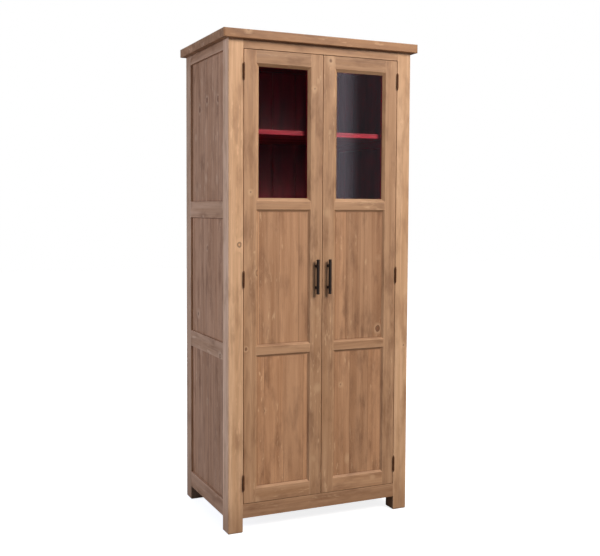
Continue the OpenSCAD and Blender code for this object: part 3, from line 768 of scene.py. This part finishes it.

# %% Set tones, with painted light and shade
# Set tones: partly the boards' own tone, partly painted light and shade matched to how bright each
# piece looks
BOARD_TONES_AND_PAINTED_LIGHT = {"front_left_post": 1.28, "front_right_post": 1.17, "rear_left_post": 0.95,
         "front_top_rail": 0.92, "front_bottom_rail": 0.92, "top_board": 1.13}
for part, tones in (
        ("hinge_stile", (1.00, 0.88)), ("meeting_stile", (0.90, 0.90)), ("top_rail", (0.81, 0.81)),
        ("glass_rail", (0.95, 0.88)), ("middle_rail", (0.94, 0.90)), ("bottom_rail", (0.98, 1.02)),
        ("upper_panel", (1.02, 0.93)), ("lower_panel", (1.07, 0.97))):
    for side, tone in zip(SIDES, tones):
        BOARD_TONES_AND_PAINTED_LIGHT[f"{side}_door_{part}"] = tone
print("set tones:", len(BOARD_TONES_AND_PAINTED_LIGHT))

# %% [markdown]
# ## Corner posts
# The four posts are the cabinet's legs too. Their outer corners are rounded by about 3 mm, the
# other corners only broken, and the feet are rounded underneath so that they don't splinter
# when the cabinet is dragged.

# %% Posts
OUTER_ROUND, SOFT, FOOT_ROUND = 3.2 * MM, 1.3 * MM, 6 * MM
for (side, x_end), (row_of, y_end) in product(zip(SIDES, ENDS), (("front", -1), ("rear", 1))):
    node = f"{row_of}_{side}_post"
    uprights = [(signs, OUTER_ROUND if signs == (x_end, y_end) else SOFT) for signs in ALL_ROUND]
    foot = edges(FOOT_ROUND, [(s, -1) for s in ENDS])
    piece = timber(node, (ALONG_Z, ALONG_X, ALONG_Y),
                   [(ALONG_Z, uprights), (ALONG_X, foot), (ALONG_Y, foot)], *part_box(node),
                   material=post_pine)
    print(piece.name, len(piece.data.polygons), "faces")

# %% [markdown]
# ## Rails of the carcass
# Rails run across between the posts, so their grain is level. Their long corners are broken by
# a stroke of the plane, and a hair is taken off the ends that meet a post, which leaves the
# thin dark line that shows every joint. The tenons stay inside the posts.

# %% Rails
BROKEN, JOINT = 0.9 * MM, 0.35 * MM
rails = [(f"{end}_{level}_rail", ALONG_X, -inner_half, inner_half)
         for end, level in product(("front", "rear"), ("top", "bottom"))]
rails += [(f"{side}_{level}_rail", ALONG_Y, post_high.y, rear_post_low.y)
          for side, level in product(SIDES, ("top", "upper", "lower", "bottom"))]
for node, along, start, stop in rails:
    low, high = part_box(node)
    low[along], high[along] = start, stop
    timber(node, (along, ALONG_Z, 1 - along), [(along, edges(BROKEN)), (ALONG_Z, edges(JOINT))],
           low, high)
print("rails:", len(rails))

# %% [markdown]
# ## Side panels
# The thin side panels float in their grooves. Their grain is upright and they are glued up from
# narrow staves. Only the visible part counts as the panel's size, so that its rim is darkened:
# painted shade along the recess under the rails and posts, with some wax build-up.

# %% Side panels
for side, level in product(SIDES, ("top", "middle", "bottom")):
    panel(f"{side}_{level}_panel", (ALONG_Z, ALONG_Y, ALONG_X), SIDE_GROOVE)
print("side panels ready")

# %% [markdown]
# ## The top board
# A thick board covers the carcass and overhangs it at the front and sides. Its corners are
# rounded more than its long edges, which are only eased. The back corners stay nearly square,
# because they stand against the wall.

# %% Top board
EASED, CORNER = 3.4 * MM, 8 * MM
front_corners, rear_corners = [(-1, -1), (1, -1)], [(-1, 1), (1, 1)]
timber("top_board", (ALONG_X, ALONG_Y, ALONG_Z),
       [(ALONG_Z, edges(CORNER, front_corners) + edges(SOFT, rear_corners)),
        (ALONG_X, edges(EASED)), (ALONG_Y, edges(EASED))],
       *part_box("top_board"), material=top_pine, slot="pine_top")

# %% [markdown]
# ## Shelves and bottom board
# The shelves are notched round the posts, lie on cleats and are painted all over. Only their
# front corners are softened, where hands and plates rub, so the notches keep their fit.

# %% Shelves
SHELF_ROUND = 1.5 * MM
for node in ("bottom_board", "shelf_1", "shelf_2", "shelf_3", "shelf_4"):
    low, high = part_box(node)
    front_low, front_high = low.copy(), high.copy()
    front_low.x, front_high.x = -inner_half, inner_half
    mesh = worked(node, [
        (ALONG_X, front_low, front_high, edges(SHELF_ROUND, [(-1, s) for s in ENDS]))])
    give_grain(mesh, (ALONG_X, ALONG_Y, ALONG_Z), low, high)
    finish_piece(node + ".wood", mesh, red_paint, node)

# %% [markdown]
# ## Doors
# Each door is six pieces of timber with the mouldings cut on them, mitred at the corners. The
# stiles run the full height and the rails lie between them. Only the door's own outline is
# rounded, because the mouldings already finish the inner edges.

# %% Door timber
DOOR_ROUND = 1.4 * MM
for side in SIDES:
    for part in ("hinge", "meeting"):
        node = f"{side}_door_{part}_stile"
        low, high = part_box(node)
        outer = -1 if (side == "left") == (part == "hinge") else 1
        if outer < 0:
            start = low.x
            high.x = low.x + STILE_FACE
        else:
            stop = high.x
            low.x = high.x - STILE_FACE
        timber(node, (ALONG_Z, ALONG_X, ALONG_Y),
               [(ALONG_Z, edges(DOOR_ROUND, [(outer, s) for s in ENDS])),
                (ALONG_X, edges(DOOR_ROUND))], low, high)
    for part, under, over, outer in (("bottom", 0, PANEL_MOULDING, -1),
                                     ("middle", PANEL_MOULDING, PANEL_MOULDING, 0),
                                     ("glass", PANEL_MOULDING, GLASS_MOULDING, 0),
                                     ("top", GLASS_MOULDING, 0, 1)):
        node = f"{side}_door_{part}_rail"
        low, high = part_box(node)
        low.x, high.x = start + STILE_FACE, stop - STILE_FACE
        low.z, high.z = low.z + under, high.z - over
        rounds = [(ALONG_Z, edges(JOINT, [(s, -1) for s in ENDS]))]
        if outer:
            rounds.append((ALONG_X, edges(DOOR_ROUND, [(s, outer) for s in ENDS])))
        timber(node, (ALONG_X, ALONG_Z, ALONG_Y), rounds, low, high)
    for part in ("upper", "lower"):
        panel(f"{side}_door_{part}_panel", (ALONG_Z, ALONG_X, ALONG_Y), DOOR_GROOVE)
print("doors of", round((stop - start) * 1000, 1), "mm")

# %% [markdown]
# ## Panes, catches and hinge leaves
# These keep their shape from the frame. They only need their finish.

# %% Glass and catches
for node, material in (
        ("left_door_glass", glass), ("right_door_glass", glass), ("catches", catch_plastic),
        ("frame_hinge_leaves", bronze), ("left_door_hinge_leaves", bronze),
        ("right_door_hinge_leaves", bronze)):
    frame["nodes"][node].data.materials.clear()
    frame["nodes"][node].data.materials.append(material)
    print(node, "in", material.name)

# %% [markdown]
# ## Pieces in a row
# The back boards, the shelf cleats and the glazing beads are each one piece repeated at even
# steps. Geometry Nodes lay such a row: a line of points, the piece put on each point, and
# another piece on the last one, since the last back board has no tongue. Each copy is numbered,
# so that it can be given its own part of the tree afterwards.

# %% Row of pieces
row, given, result = new_group(
    "Pieces in a row", "GeometryNodeTree",
    {"Ground": "Geometry", "Piece": "Object", "Last piece": "Object", "Count": 4,
     "First place": "Vector", "Step": "Vector", "Finish": "Material"}, {"Row": "Geometry"})
line = flow("GeometryNodeMeshLine", {
    "Count": given["Count"], "Start Location": given["First place"], "Offset": given["Step"]},
    mode="OFFSET")
is_last = calc("COMPARE", flow("GeometryNodeInputIndex"), given["Count"] - 1.0, 0.1)
both = add("GeometryNodeJoinGeometry")
for chosen, which in ((1.0 - is_last, "Piece"), (is_last, "Last piece")):
    shape = flow("GeometryNodeObjectInfo", {"Object": given[which], "As Instance": True},
                 "Geometry")
    plug(both.inputs[0], flow("GeometryNodeInstanceOnPoints", {
        "Points": line, "Selection": chosen, "Instance": shape}))
start_to = calc("DISTANCE", flow("GeometryNodeInputPosition"), given["First place"])
numbered = flow("GeometryNodeStoreNamedAttribute", {
    "Geometry": Flow(both.outputs[0]), "Name": "board",
    "Value": calc("ROUND", start_to / calc("LENGTH", given["Step"]))},
    data_type="INT", domain="INSTANCE")
whole = flow("GeometryNodeRealizeInstances", {"Geometry": numbered})
feed(result, Row=flow("GeometryNodeSetMaterial", {"Geometry": whole, "Material": given["Finish"]}))
print("row of pieces:", len(row.nodes), "nodes")


# %% Lay a row
def grow(tree, host_mesh, **inputs):
    """Runs a Geometry Nodes tree on a mesh and gives back what it made as a plain mesh."""
    host = link("host", host_mesh)
    maker = host.modifiers.new("maker", "NODES")
    maker.node_group = tree
    for name, value in inputs.items():
        maker[tree.interface.items_tree[name.replace("_", " ")].identifier] = value
    made = plain_mesh(host)
    bpy.data.objects.remove(host)
    return made


def lay_row(shapes, count, step, order, finish, low=None, high=None):
    """A row of the first shape with the last shape at its end, each board with its own grain."""
    corners = np.array([v.co for v in shapes[0].vertices])
    pieces = [link("piece", mesh) for mesh in shapes]
    mesh = grow(row, bpy.data.meshes.new("empty"), Piece=pieces[0], Last_piece=pieces[-1],
                Count=count, Step=step, Finish=finish)
    board = np.zeros(len(mesh.vertices), np.int32)
    mesh.attributes["board"].data.foreach_get("value", board)
    give_grain(mesh, order, low or corners.min(0), high or corners.max(0), board, step)
    for piece in pieces:
        bpy.data.objects.remove(piece)
    return mesh


print("row layer ready")

# %% [markdown]
# ## Back boards
# Six tongued boards close the back. Each has a groove on its left edge and a tongue on its
# right, and its face corners are bevelled, so that the joints show as neat V lines inside and
# out. They are painted inside and left waxed outside.

# %% Back boards
BOARDS, BOARD_GAP, V_CUT = 6, 0.5 * MM, 1.2 * MM
TONGUE, TONGUE_HALF, GROOVE_HALF = 5 * MM, 1.5 * MM, 1.75 * MM
back_low, back_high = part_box("back_boards")
pitch = (2 * inner_half - 2 * BOARD_GAP) / BOARDS
x0, x1 = back_low.x, back_low.x + pitch - BOARD_GAP
y0, y1, ym = back_low.y, back_high.y, (back_low.y + back_high.y) / 2
left_edge = [(x0, y1 - V_CUT), (x0, ym + GROOVE_HALF), (x0 + TONGUE, ym + GROOVE_HALF),
             (x0 + TONGUE, ym - GROOVE_HALF), (x0, ym - GROOVE_HALF), (x0, y0 + V_CUT)]
tongue = [(x1, ym - TONGUE_HALF), (x1 + TONGUE, ym - TONGUE_HALF),
          (x1 + TONGUE, ym + TONGUE_HALF), (x1, ym + TONGUE_HALF)]
boards = [prism(ALONG_Z, [(x0 + V_CUT, y0), (x1 - V_CUT, y0), (x1, y0 + V_CUT), *right_edge,
                          (x1, y1 - V_CUT), (x1 - V_CUT, y1), (x0 + V_CUT, y1), *left_edge],
                back_low.z, back_high.z) for right_edge in (tongue, [])]
mesh = shade(lay_row(boards, BOARDS, (pitch, 0.0, 0.0), (ALONG_Z, ALONG_X, ALONG_Y), frame_pine,
                     (x0, y0, back_low.z), (x1, y1, back_high.z)))
finish_piece("back_boards.wood", mesh, frame_pine, "back_boards")
print("back boards:", BOARDS, "of", round(pitch * 1000, 1), "mm")

# %% [markdown]
# ## Shelf cleats
# Each shelf rests on a cleat screwed to the posts at either side. The ten cleats are two rows
# of five, one up each side.

# %% Cleats
CLEAT_WIDE, CLEAT_HIGH, CLEAT_EASE = 18 * MM, 30 * MM, 1.2 * MM
cleat_low, cleat_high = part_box("shelf_cleats")
rise = (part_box("shelf_4")[0].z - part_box("bottom_board")[0].z) / 4
rows = []
for sign in ENDS:
    xs = sorted((sign * inner_half, sign * (inner_half - CLEAT_WIDE)))
    outline = bar_outline(*xs, cleat_low.z, cleat_low.z + CLEAT_HIGH, CLEAT_EASE)
    rows.append(lay_row([prism(ALONG_Y, outline, cleat_low.y, cleat_high.y)], 5,
                        (0.0, 0.0, rise), (ALONG_Y, ALONG_Z, ALONG_X), red_paint))
finish_piece("shelf_cleats.wood", shade(join(rows)), red_paint,
             "shelf_cleats")
print("cleats rise by", round(rise * 1000, 1), "mm")

# %% [markdown]
# ## Glazing beads
# Four strips hold each pane in its rebate from behind. They are one row of two level strips and
# one of two upright strips, and they're painted like the inside that they face.

# %% Beads
BEAD_WIDE, BEAD_PLAY, BEAD_EASE = 9 * MM, 0.2 * MM, 1.5 * MM
for side in SIDES:
    node = f"{side}_door_glazing_beads"
    low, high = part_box(node)
    across, up = high.x - low.x, high.z - low.z
    level = bar_outline(low.y, high.y, low.z, low.z + BEAD_WIDE, BEAD_EASE)
    upright = bar_outline(low.x, low.x + BEAD_WIDE, low.y, high.y, BEAD_EASE)
    inset = BEAD_WIDE + BEAD_PLAY
    rows = [lay_row([prism(ALONG_X, level, low.x, high.x)], 2, (0.0, 0.0, up - BEAD_WIDE),
                    (ALONG_X, ALONG_Z, ALONG_Y), red_paint),
            lay_row([prism(ALONG_Z, upright, low.z + inset, high.z - inset)], 2,
                    (across - BEAD_WIDE, 0.0, 0.0), (ALONG_Z, ALONG_X, ALONG_Y), red_paint)]
    finish_piece(node + ".wood", shade(join(rows)), red_paint, node)
print("beads round panes of", round(across * 1000), "by", round(up * 1000), "mm")

# %% [markdown]
# ## Turned metal
# Screws, hinge pins and handles are all turned on a lathe: a profile goes round an axis. The
# profile's ends lie on the axis, where all the steps share one point, so the shape is closed.


# %% Lathe
def lathe(profile, steps):
    """A turned solid about the Z axis from (radius, height) pairs; its ends have radius 0."""
    bm = bmesh.new()
    turns = [2 * math.pi * i / steps for i in range(steps)]
    loops = [[bm.verts.new((radius * math.cos(a), radius * math.sin(a), height))
              for a in (turns if radius else [0.0])] for radius, height in profile]
    for low, high in zip(loops, loops[1:]):
        for i in range(steps):
            j = (i + 1) % steps
            corners = [low[i % len(low)], low[j % len(low)], high[j % len(high)],
                       high[i % len(high)]]
            bm.faces.new(list(dict.fromkeys(corners)))
    bmesh.ops.recalc_face_normals(bm, faces=bm.faces)
    return mesh_of(bm)


print("lathe ready")

# %% [markdown]
# ## Where the hardware goes
# The frame's solids already hold every screw and pin. Each one is found as its own island of
# joined triangles, and its own box tells its length, its width and which way its head faces.
# So the detailed screws land exactly where the plain ones were.


# %% Find the hardware
def islands(node):
    """The corners of each separate solid in a CAD node."""
    bm = welded(node)
    left, found = set(bm.verts), []
    while left:
        todo, part = [left.pop()], []
        while todo:
            vert = todo.pop()
            part.append(tuple(vert.co))
            for line in vert.link_edges:
                other = line.other_vert(vert)
                if other in left:
                    left.remove(other)
                    todo.append(other)
        found.append(np.array(part))
    bm.free()
    return sorted(found, key=lambda p: tuple(np.round(p.mean(0), 4)))


Turned = namedtuple("Turned", "head aim length radius is_round")
NEAR = 0.2 * MM


def measure(part):
    """The middle of a solid's head, the way that it faces, its length and its head's radius."""
    low, high = part.min(0), part.max(0)
    size, middle = high - low, (high + low) / 2
    axis = int(size.argmax())
    others = list(OTHERS[axis])
    spread = [np.abs(part[np.abs(part[:, axis] - end[axis]) < NEAR][:, others]
                     - middle[others]).max() for end in (low, high)]
    sign = 1 if spread[1] > spread[0] else -1
    head, aim = middle.copy(), np.zeros(3)
    head[axis] = (high if sign > 0 else low)[axis]
    aim[axis] = sign
    is_round = abs(size[others[0]] - size[others[1]]) < NEAR
    return Turned(head, aim, round(float(size[axis]), 4), round(float(max(spread)), 4), is_round)


for node in ("carcass_screws", "left_door_fixings", "hinge_pins"):
    found = [measure(part) for part in islands(node)]
    print(node, len(found), "solids, (length, radius):", sorted({m[2:4] for m in found}))

# %% [markdown]
# ## Screws and pins on their places
# The same few kinds of screw are repeated eighty times, which is work for Geometry Nodes. The
# tree takes one point for each screw, which carries its kind and the way that its head faces,
# picks the right screw, aims it and gives its slot a random turn with a fixed seed.

# %% Hardware tree
hardware, given, result = new_group(
    "Hardware on its places", "GeometryNodeTree",
    {"Places": "Geometry", "Kinds": "Collection", "Turn seed": 3, "Finish": "Material"},
    {"Hardware": "Geometry"})
kinds = flow("GeometryNodeCollectionInfo", {
    "Collection": given["Kinds"], "Separate Children": True, "Reset Children": True})
aim = flow("GeometryNodeInputNamedAttribute", {"Name": "aim"}, data_type="FLOAT_VECTOR")
kind = flow("GeometryNodeInputNamedAttribute", {"Name": "kind"}, data_type="INT")
turn = add("FunctionNodeRandomValue", {"Seed": given["Turn seed"]}, data_type="FLOAT")
plug(next(s for s in turn.inputs if s.name == "Max" and s.type == "VALUE"), math.pi)
turn = Flow(next(s for s in turn.outputs if s.type == "VALUE"))
aimed = flow("FunctionNodeRotateRotation", {
    "Rotation": flow("FunctionNodeAlignRotationToVector", {"Vector": aim}, axis="Z"),
    "Rotate By": flow("FunctionNodeAxisAngleToRotation", {"Axis": (0, 0, 1), "Angle": turn})},
    rotation_space="LOCAL")
put = flow("GeometryNodeInstanceOnPoints", {
    "Points": given["Places"], "Instance": kinds, "Pick Instance": True,
    "Instance Index": kind, "Rotation": aimed})
whole = flow("GeometryNodeRealizeInstances", {"Geometry": put})
feed(result, Hardware=flow("GeometryNodeSetMaterial", {
    "Geometry": whole, "Material": given["Finish"]}))
print("hardware tree:", len(hardware.nodes), "nodes")


# %% Screw shapes
SHORTEST_BOLT = 25 * MM


def screw_shape(length, radius):
    """A slotted screw with its head at the origin, facing up."""
    shank, head, wide = radius / 2, radius * 0.6, radius * 0.12
    body = lathe([(0, 0), (radius * 0.92, 0), (radius, -0.1 * head), (shank, -head),
                  (shank, -length + 2 * shank), (0.2 * MM, -length), (0, -length)], 18)
    slot = prism(ALONG_X, [(-wide, -radius * 0.35), (wide, -radius * 0.35), (wide, head),
                           (-wide, head)], -2 * radius, 2 * radius)
    return shade(cut(body, [slot]), 50, flats=False)


def bolt_shape(length, radius):
    """A pan-headed bolt with a cross slot, which holds a handle."""
    deep, shank, wide, reach = 2.2 * MM, radius / 2, 0.55 * MM, 2.2 * MM
    body = lathe([(0, 0), (radius * 0.55, 0), (radius * 0.9, -0.35 * deep),
                  (radius, -0.75 * deep), (radius, -deep), (shank, -deep),
                  (shank, -length + 0.4 * MM), (shank * 0.8, -length), (0, -length)], 24)
    slots = [prism(axis, [(-wide, -deep / 2), (wide, -deep / 2), (wide, deep), (-wide, deep)],
                   -reach, reach) for axis in (ALONG_X, ALONG_Y)]
    return shade(cut(body, slots), 50, flats=False)


def door_screw_shape(length, radius):
    """The long ones are the handle's bolts."""
    return (bolt_shape if length > SHORTEST_BOLT else screw_shape)(length, radius)


print("screw shapes ready")


# %% Put the screws in
def place_hardware(name, node, shape_of, material):
    """Every turned solid of a node as a detailed one, made by one run of the tree."""
    found = [m for m in map(measure, islands(node)) if m.is_round]
    sizes = sorted({(m.length, m.radius) for m in found})
    kinds = bpy.data.collections.new(name + " kinds")
    bpy.context.scene.collection.children.link(kinds)
    masters = [bpy.data.objects.new(f"kind {i:02d}", shape_of(*size))
               for i, size in enumerate(sizes)]
    for master in masters:
        kinds.objects.link(master)
    points = bpy.data.meshes.new("places")
    points.from_pydata([m.head for m in found], [], [])
    carry(points, "aim", "FLOAT_VECTOR", [m.aim for m in found])
    carry(points, "kind", "INT", [sizes.index((m.length, m.radius)) for m in found])
    mesh = grow(hardware, points, Kinds=kinds, Turn_seed=5, Finish=material)
    for master in masters:
        bpy.data.objects.remove(master)
    bpy.data.collections.remove(kinds)
    finish_piece(name, mesh, material, node)
    print(name, len(found), "of", len(sizes), "kinds,", len(mesh.polygons), "faces")


place_hardware("carcass_screws.metal", "carcass_screws", screw_shape, zinc)
for side in SIDES:
    place_hardware(f"{side}_door_screws.metal", f"{side}_door_fixings", door_screw_shape, zinc)

# %% [markdown]
# ## Hinge pins
# Each hinge pin ends in a small collar and a point, above and below the barrel. One profile is
# written for the upper end and turned upside down for the lower one, and the tree that put the
# screws in puts the six pins in too.


# %% Pins
def pin_shape(length, tip):
    """A pin with a pointed finial at each end; its top is at the origin."""
    point, collar, shank = 9 * MM, 3.7 * MM, 1.8 * MM
    rise = [(0, 0), (tip, -0.3 * MM), (collar * 0.42, -1.6 * MM), (collar * 0.64, -3.6 * MM),
            (collar * 0.82, -6.0 * MM), (collar * 0.87, -7.2 * MM), (collar * 0.8, -7.6 * MM),
            (collar, -8.1 * MM), (collar, -point)]
    fall = [(radius, -length - height) for radius, height in reversed(rise)]
    return shade(lathe([*rise, (shank, -point), (shank, -length + point), *fall], 28), 60,
                 flats=False)


place_hardware("hinge_pins.metal", "hinge_pins", pin_shape, bronze)

# %% [markdown]
# ## Handles
# Each handle is a round bar with a swelling at both ends, held off the door by two posts that
# flare where they meet it. Bar and posts are turned one by one and united, so that the handle
# is a single closed piece, as if forged.

# %% Handles
BAR, BAR_END, FLARE, NECK, GAP_BETWEEN = 6.2 * MM, 6.6 * MM, 6 * MM, 4.8 * MM, 84 * MM
for side in SIDES:
    node = f"{side}_door_handle"
    low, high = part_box(node)
    x, bar_y, length = (low.x + high.x) / 2, low.y + BAR_END, high.z - low.z
    reach = high.y - bar_y
    end = [(0, 0), (BAR_END * 0.5, 0), (BAR_END * 0.86, 0.9 * MM), (BAR_END * 0.97, 2.2 * MM),
           (BAR_END, 3.6 * MM), (BAR_END * 0.97, 5.2 * MM), (BAR * 0.94, 6.8 * MM),
           (BAR, 10 * MM)]
    bar = lathe(end + [(r, length - z) for r, z in reversed(end)], 32)
    bar.transform(Matrix.Translation((x, bar_y, low.z)))
    posts = []
    for sign in ENDS:
        post = lathe([(0, 0), (FLARE, 0), (FLARE, 1.2 * MM), (FLARE * 0.9, 2.4 * MM),
                      (NECK * 1.04, 5 * MM), (NECK, 8 * MM), (NECK, reach - 2 * MM),
                      (NECK * 0.7, reach), (0, reach)], 28)
        middle = (low.z + high.z) / 2 + sign * GAP_BETWEEN / 2
        post.transform(Matrix.Translation((x, high.y, middle))
                       @ Matrix.Rotation(math.pi / 2, 4, "X"))
        posts.append(post)
    mesh = shade(cut(bar, posts, "UNION"), 42, flats=False)
    finish_piece(node + ".iron", mesh, black_iron, node)
print("handles", round(length * 1000), "mm long")

# %% [markdown]
# ## Strike plates
# A thin steel plate on the back of each door meets the magnetic catch. It's the one solid among
# the door's fixings that isn't round, so its own box gives the plate's size and place.

# %% Strike plates
PLATE_CORNER = 2 * MM
for side in SIDES:
    node = f"{side}_door_fixings"
    part = next(part for part in islands(node) if not measure(part).is_round)
    low, high = part.min(0), part.max(0)
    outline = bar_outline(low[0], high[0], low[2], high[2], PLATE_CORNER)
    finish_piece(f"{side}_door_strike_plate.metal", shade(prism(ALONG_Y, outline, low[1], high[1])),
                 zinc, node, stands_for=False)
print("plate", [round(1000 * (b - a), 1) for a, b in zip(low, high)], "mm")

# %% [markdown]
# ## Floor and backdrop
# The cabinet stands on a plain pale floor in a white studio. The floor takes a soft shadow,
# grows white with distance so that no horizon shows, and can't be seen from below. The world is
# white where the camera looks past the cabinet, and only a soft grey where it lights it, so
# that the wood keeps its depth and the glass stays dark. A dim card in front of the right door
# shows only as a sheen on its pane.

# %% Floor, card and world
WHITE = (1, 1, 1, 1)


def grey(level):
    """A plain grey."""
    return (level, level, level, 1)


def backdrop(name, corners, material):
    """A flat sheet that belongs to the studio, not to the cabinet."""
    mesh = bpy.data.meshes.new(name)
    mesh.from_pydata(corners, [], [(0, 1, 2, 3)])
    mesh.materials.append(material)
    obj = link(name, mesh)
    return obj


SPAN, SHADE_REACH, WHITE_FROM = 14.0, 0.9, 3.5
pale, shader = new_material("Pale floor", grey(0.8), Roughness=0.9, Emission_Color=WHITE)
seen = flow("ShaderNodeLightPath", output="Is Camera Ray")
shine = ramp(calc("LENGTH", object_place()), SHADE_REACH, WHITE_FROM, 0.84, 1.0)
feed(shader.inputs, Base_Color=mix(seen, grey(0.16), grey(0.6)), Emission_Strength=seen * shine)
surface(either(flow("ShaderNodeNewGeometry", output="Backfacing"), Flow(shader.outputs[0]),
               flow("ShaderNodeBsdfTransparent")))
backdrop("floor", [(-SPAN, -SPAN, 0), (SPAN, -SPAN, 0), (SPAN, SPAN, 0), (-SPAN, SPAN, 0)], pale)

CARD_X, CARD_Y, CARD_Z = (1.37, 2.5), -3.0, (0.9, 2.5)
BRIGHT_TO, DIM_FROM, BRIGHT, DIM = 1.5, 1.66, 1.2, 0.22
sheen, shader = new_material("Sheen card", (0.5, 0.55, 0.65, 1.0))
fade = ramp(split(object_place())[0], BRIGHT_TO, DIM_FROM, BRIGHT, DIM)
surface(flow("ShaderNodeEmission", {"Color": (0.84, 0.75, 0.88, 1), "Strength": fade}))
card = backdrop("card", [(CARD_X[0], CARD_Y, CARD_Z[0]), (CARD_X[1], CARD_Y, CARD_Z[0]),
                         (CARD_X[1], CARD_Y, CARD_Z[1]), (CARD_X[0], CARD_Y, CARD_Z[1])], sheen)
card.visible_camera = card.visible_diffuse = card.visible_shadow = False

world = bpy.data.worlds.new("Studio")
world.use_nodes = True
bpy.context.scene.world = world
bench["tree"] = world.node_tree
path = flows(add("ShaderNodeLightPath"))
surround = mix(path["Is Glossy Ray"], (0.17, 0.18, 0.22, 1), (0.012, 0.012, 0.016, 1))
feed(world.node_tree.nodes["Background"].inputs,
     Color=mix(path["Is Camera Ray"], surround, WHITE))
print("floor, card and world ready")

# %% [markdown]
# ## Lamps
# A broad soft key light hangs above and to the right of the front, which leaves the left side
# in shade. Three fills lift the front, that side and the back. A pane of glass would mirror
# them as grey veils, so they are hidden from its reflections.

# %% Lamps
KEY_AIM, FILL_AIM = (0.0, -0.2, 1.3), (0.0, 0.0, 1.0)
for name, at, size, power, tint in (
        ("Key", (2.1, -4.4, 4.3), 2.4, 270, (1.0, 0.93, 0.87)),
        ("Front fill", (0.5, -4.4, 4.6), 3.4, 50, (1.0, 0.95, 0.9)),
        ("Left fill", (-4.2, 0.6, 1.7), 2.6, 98, (0.80, 0.94, 1.4)),
        ("Rear fill", (1.6, 4.2, 2.4), 2.6, 120, (0.95, 0.97, 1.0))):
    light = bpy.data.lights.new(name, "AREA")
    light.shape, light.size, light.size_y = "RECTANGLE", size, size
    light.energy, light.color = power, tint
    lamp = link(name, light)
    lamp.location = at
    towards = Vector(KEY_AIM if name == "Key" else FILL_AIM) - Vector(at)
    lamp.rotation_euler = towards.to_track_quat("-Z", "Y").to_euler()
    if name != "Key":
        lamp.visible_glossy = lamp.visible_transmission = False
    print(name, power, "W")

# %% [markdown]
# ## Camera
# The camera stands a little to the left of the front at chest height, and looks slightly down.
# It's placed by its point and by the way that it looks: turned right, tipped down and rolled by
# a hair. The small shift moves the view without turning the camera.

# %% Camera
CAMERA_AT = (-1.534, face_y - 3.160, 1.242)
TURN, TIP, ROLL = math.radians(24.47), math.radians(3.20), math.radians(0.28)
LENS, SENSOR, SHIFT = 54.0, 36.0, -20 / 600  # in millimetres, and a share of the view's width
ahead = Vector((math.sin(TURN) * math.cos(TIP), math.cos(TURN) * math.cos(TIP), -math.sin(TIP)))
right = Vector((math.cos(TURN), -math.sin(TURN), 0))
down = ahead.cross(right)
across = right * math.cos(ROLL) - down * math.sin(ROLL)
up = -(right * math.sin(ROLL) + down * math.cos(ROLL))
eye = bpy.data.cameras.new("Camera")
eye.lens, eye.sensor_width, eye.shift_y = LENS, SENSOR, SHIFT
camera = link("Camera", eye)
turned = Matrix((across, up, -ahead)).transposed().to_4x4()
camera.matrix_world = Matrix.Translation(CAMERA_AT) @ turned
bpy.context.scene.camera = camera
bpy.context.scene.view_settings.view_transform = "Standard"
print("camera at", CAMERA_AT)
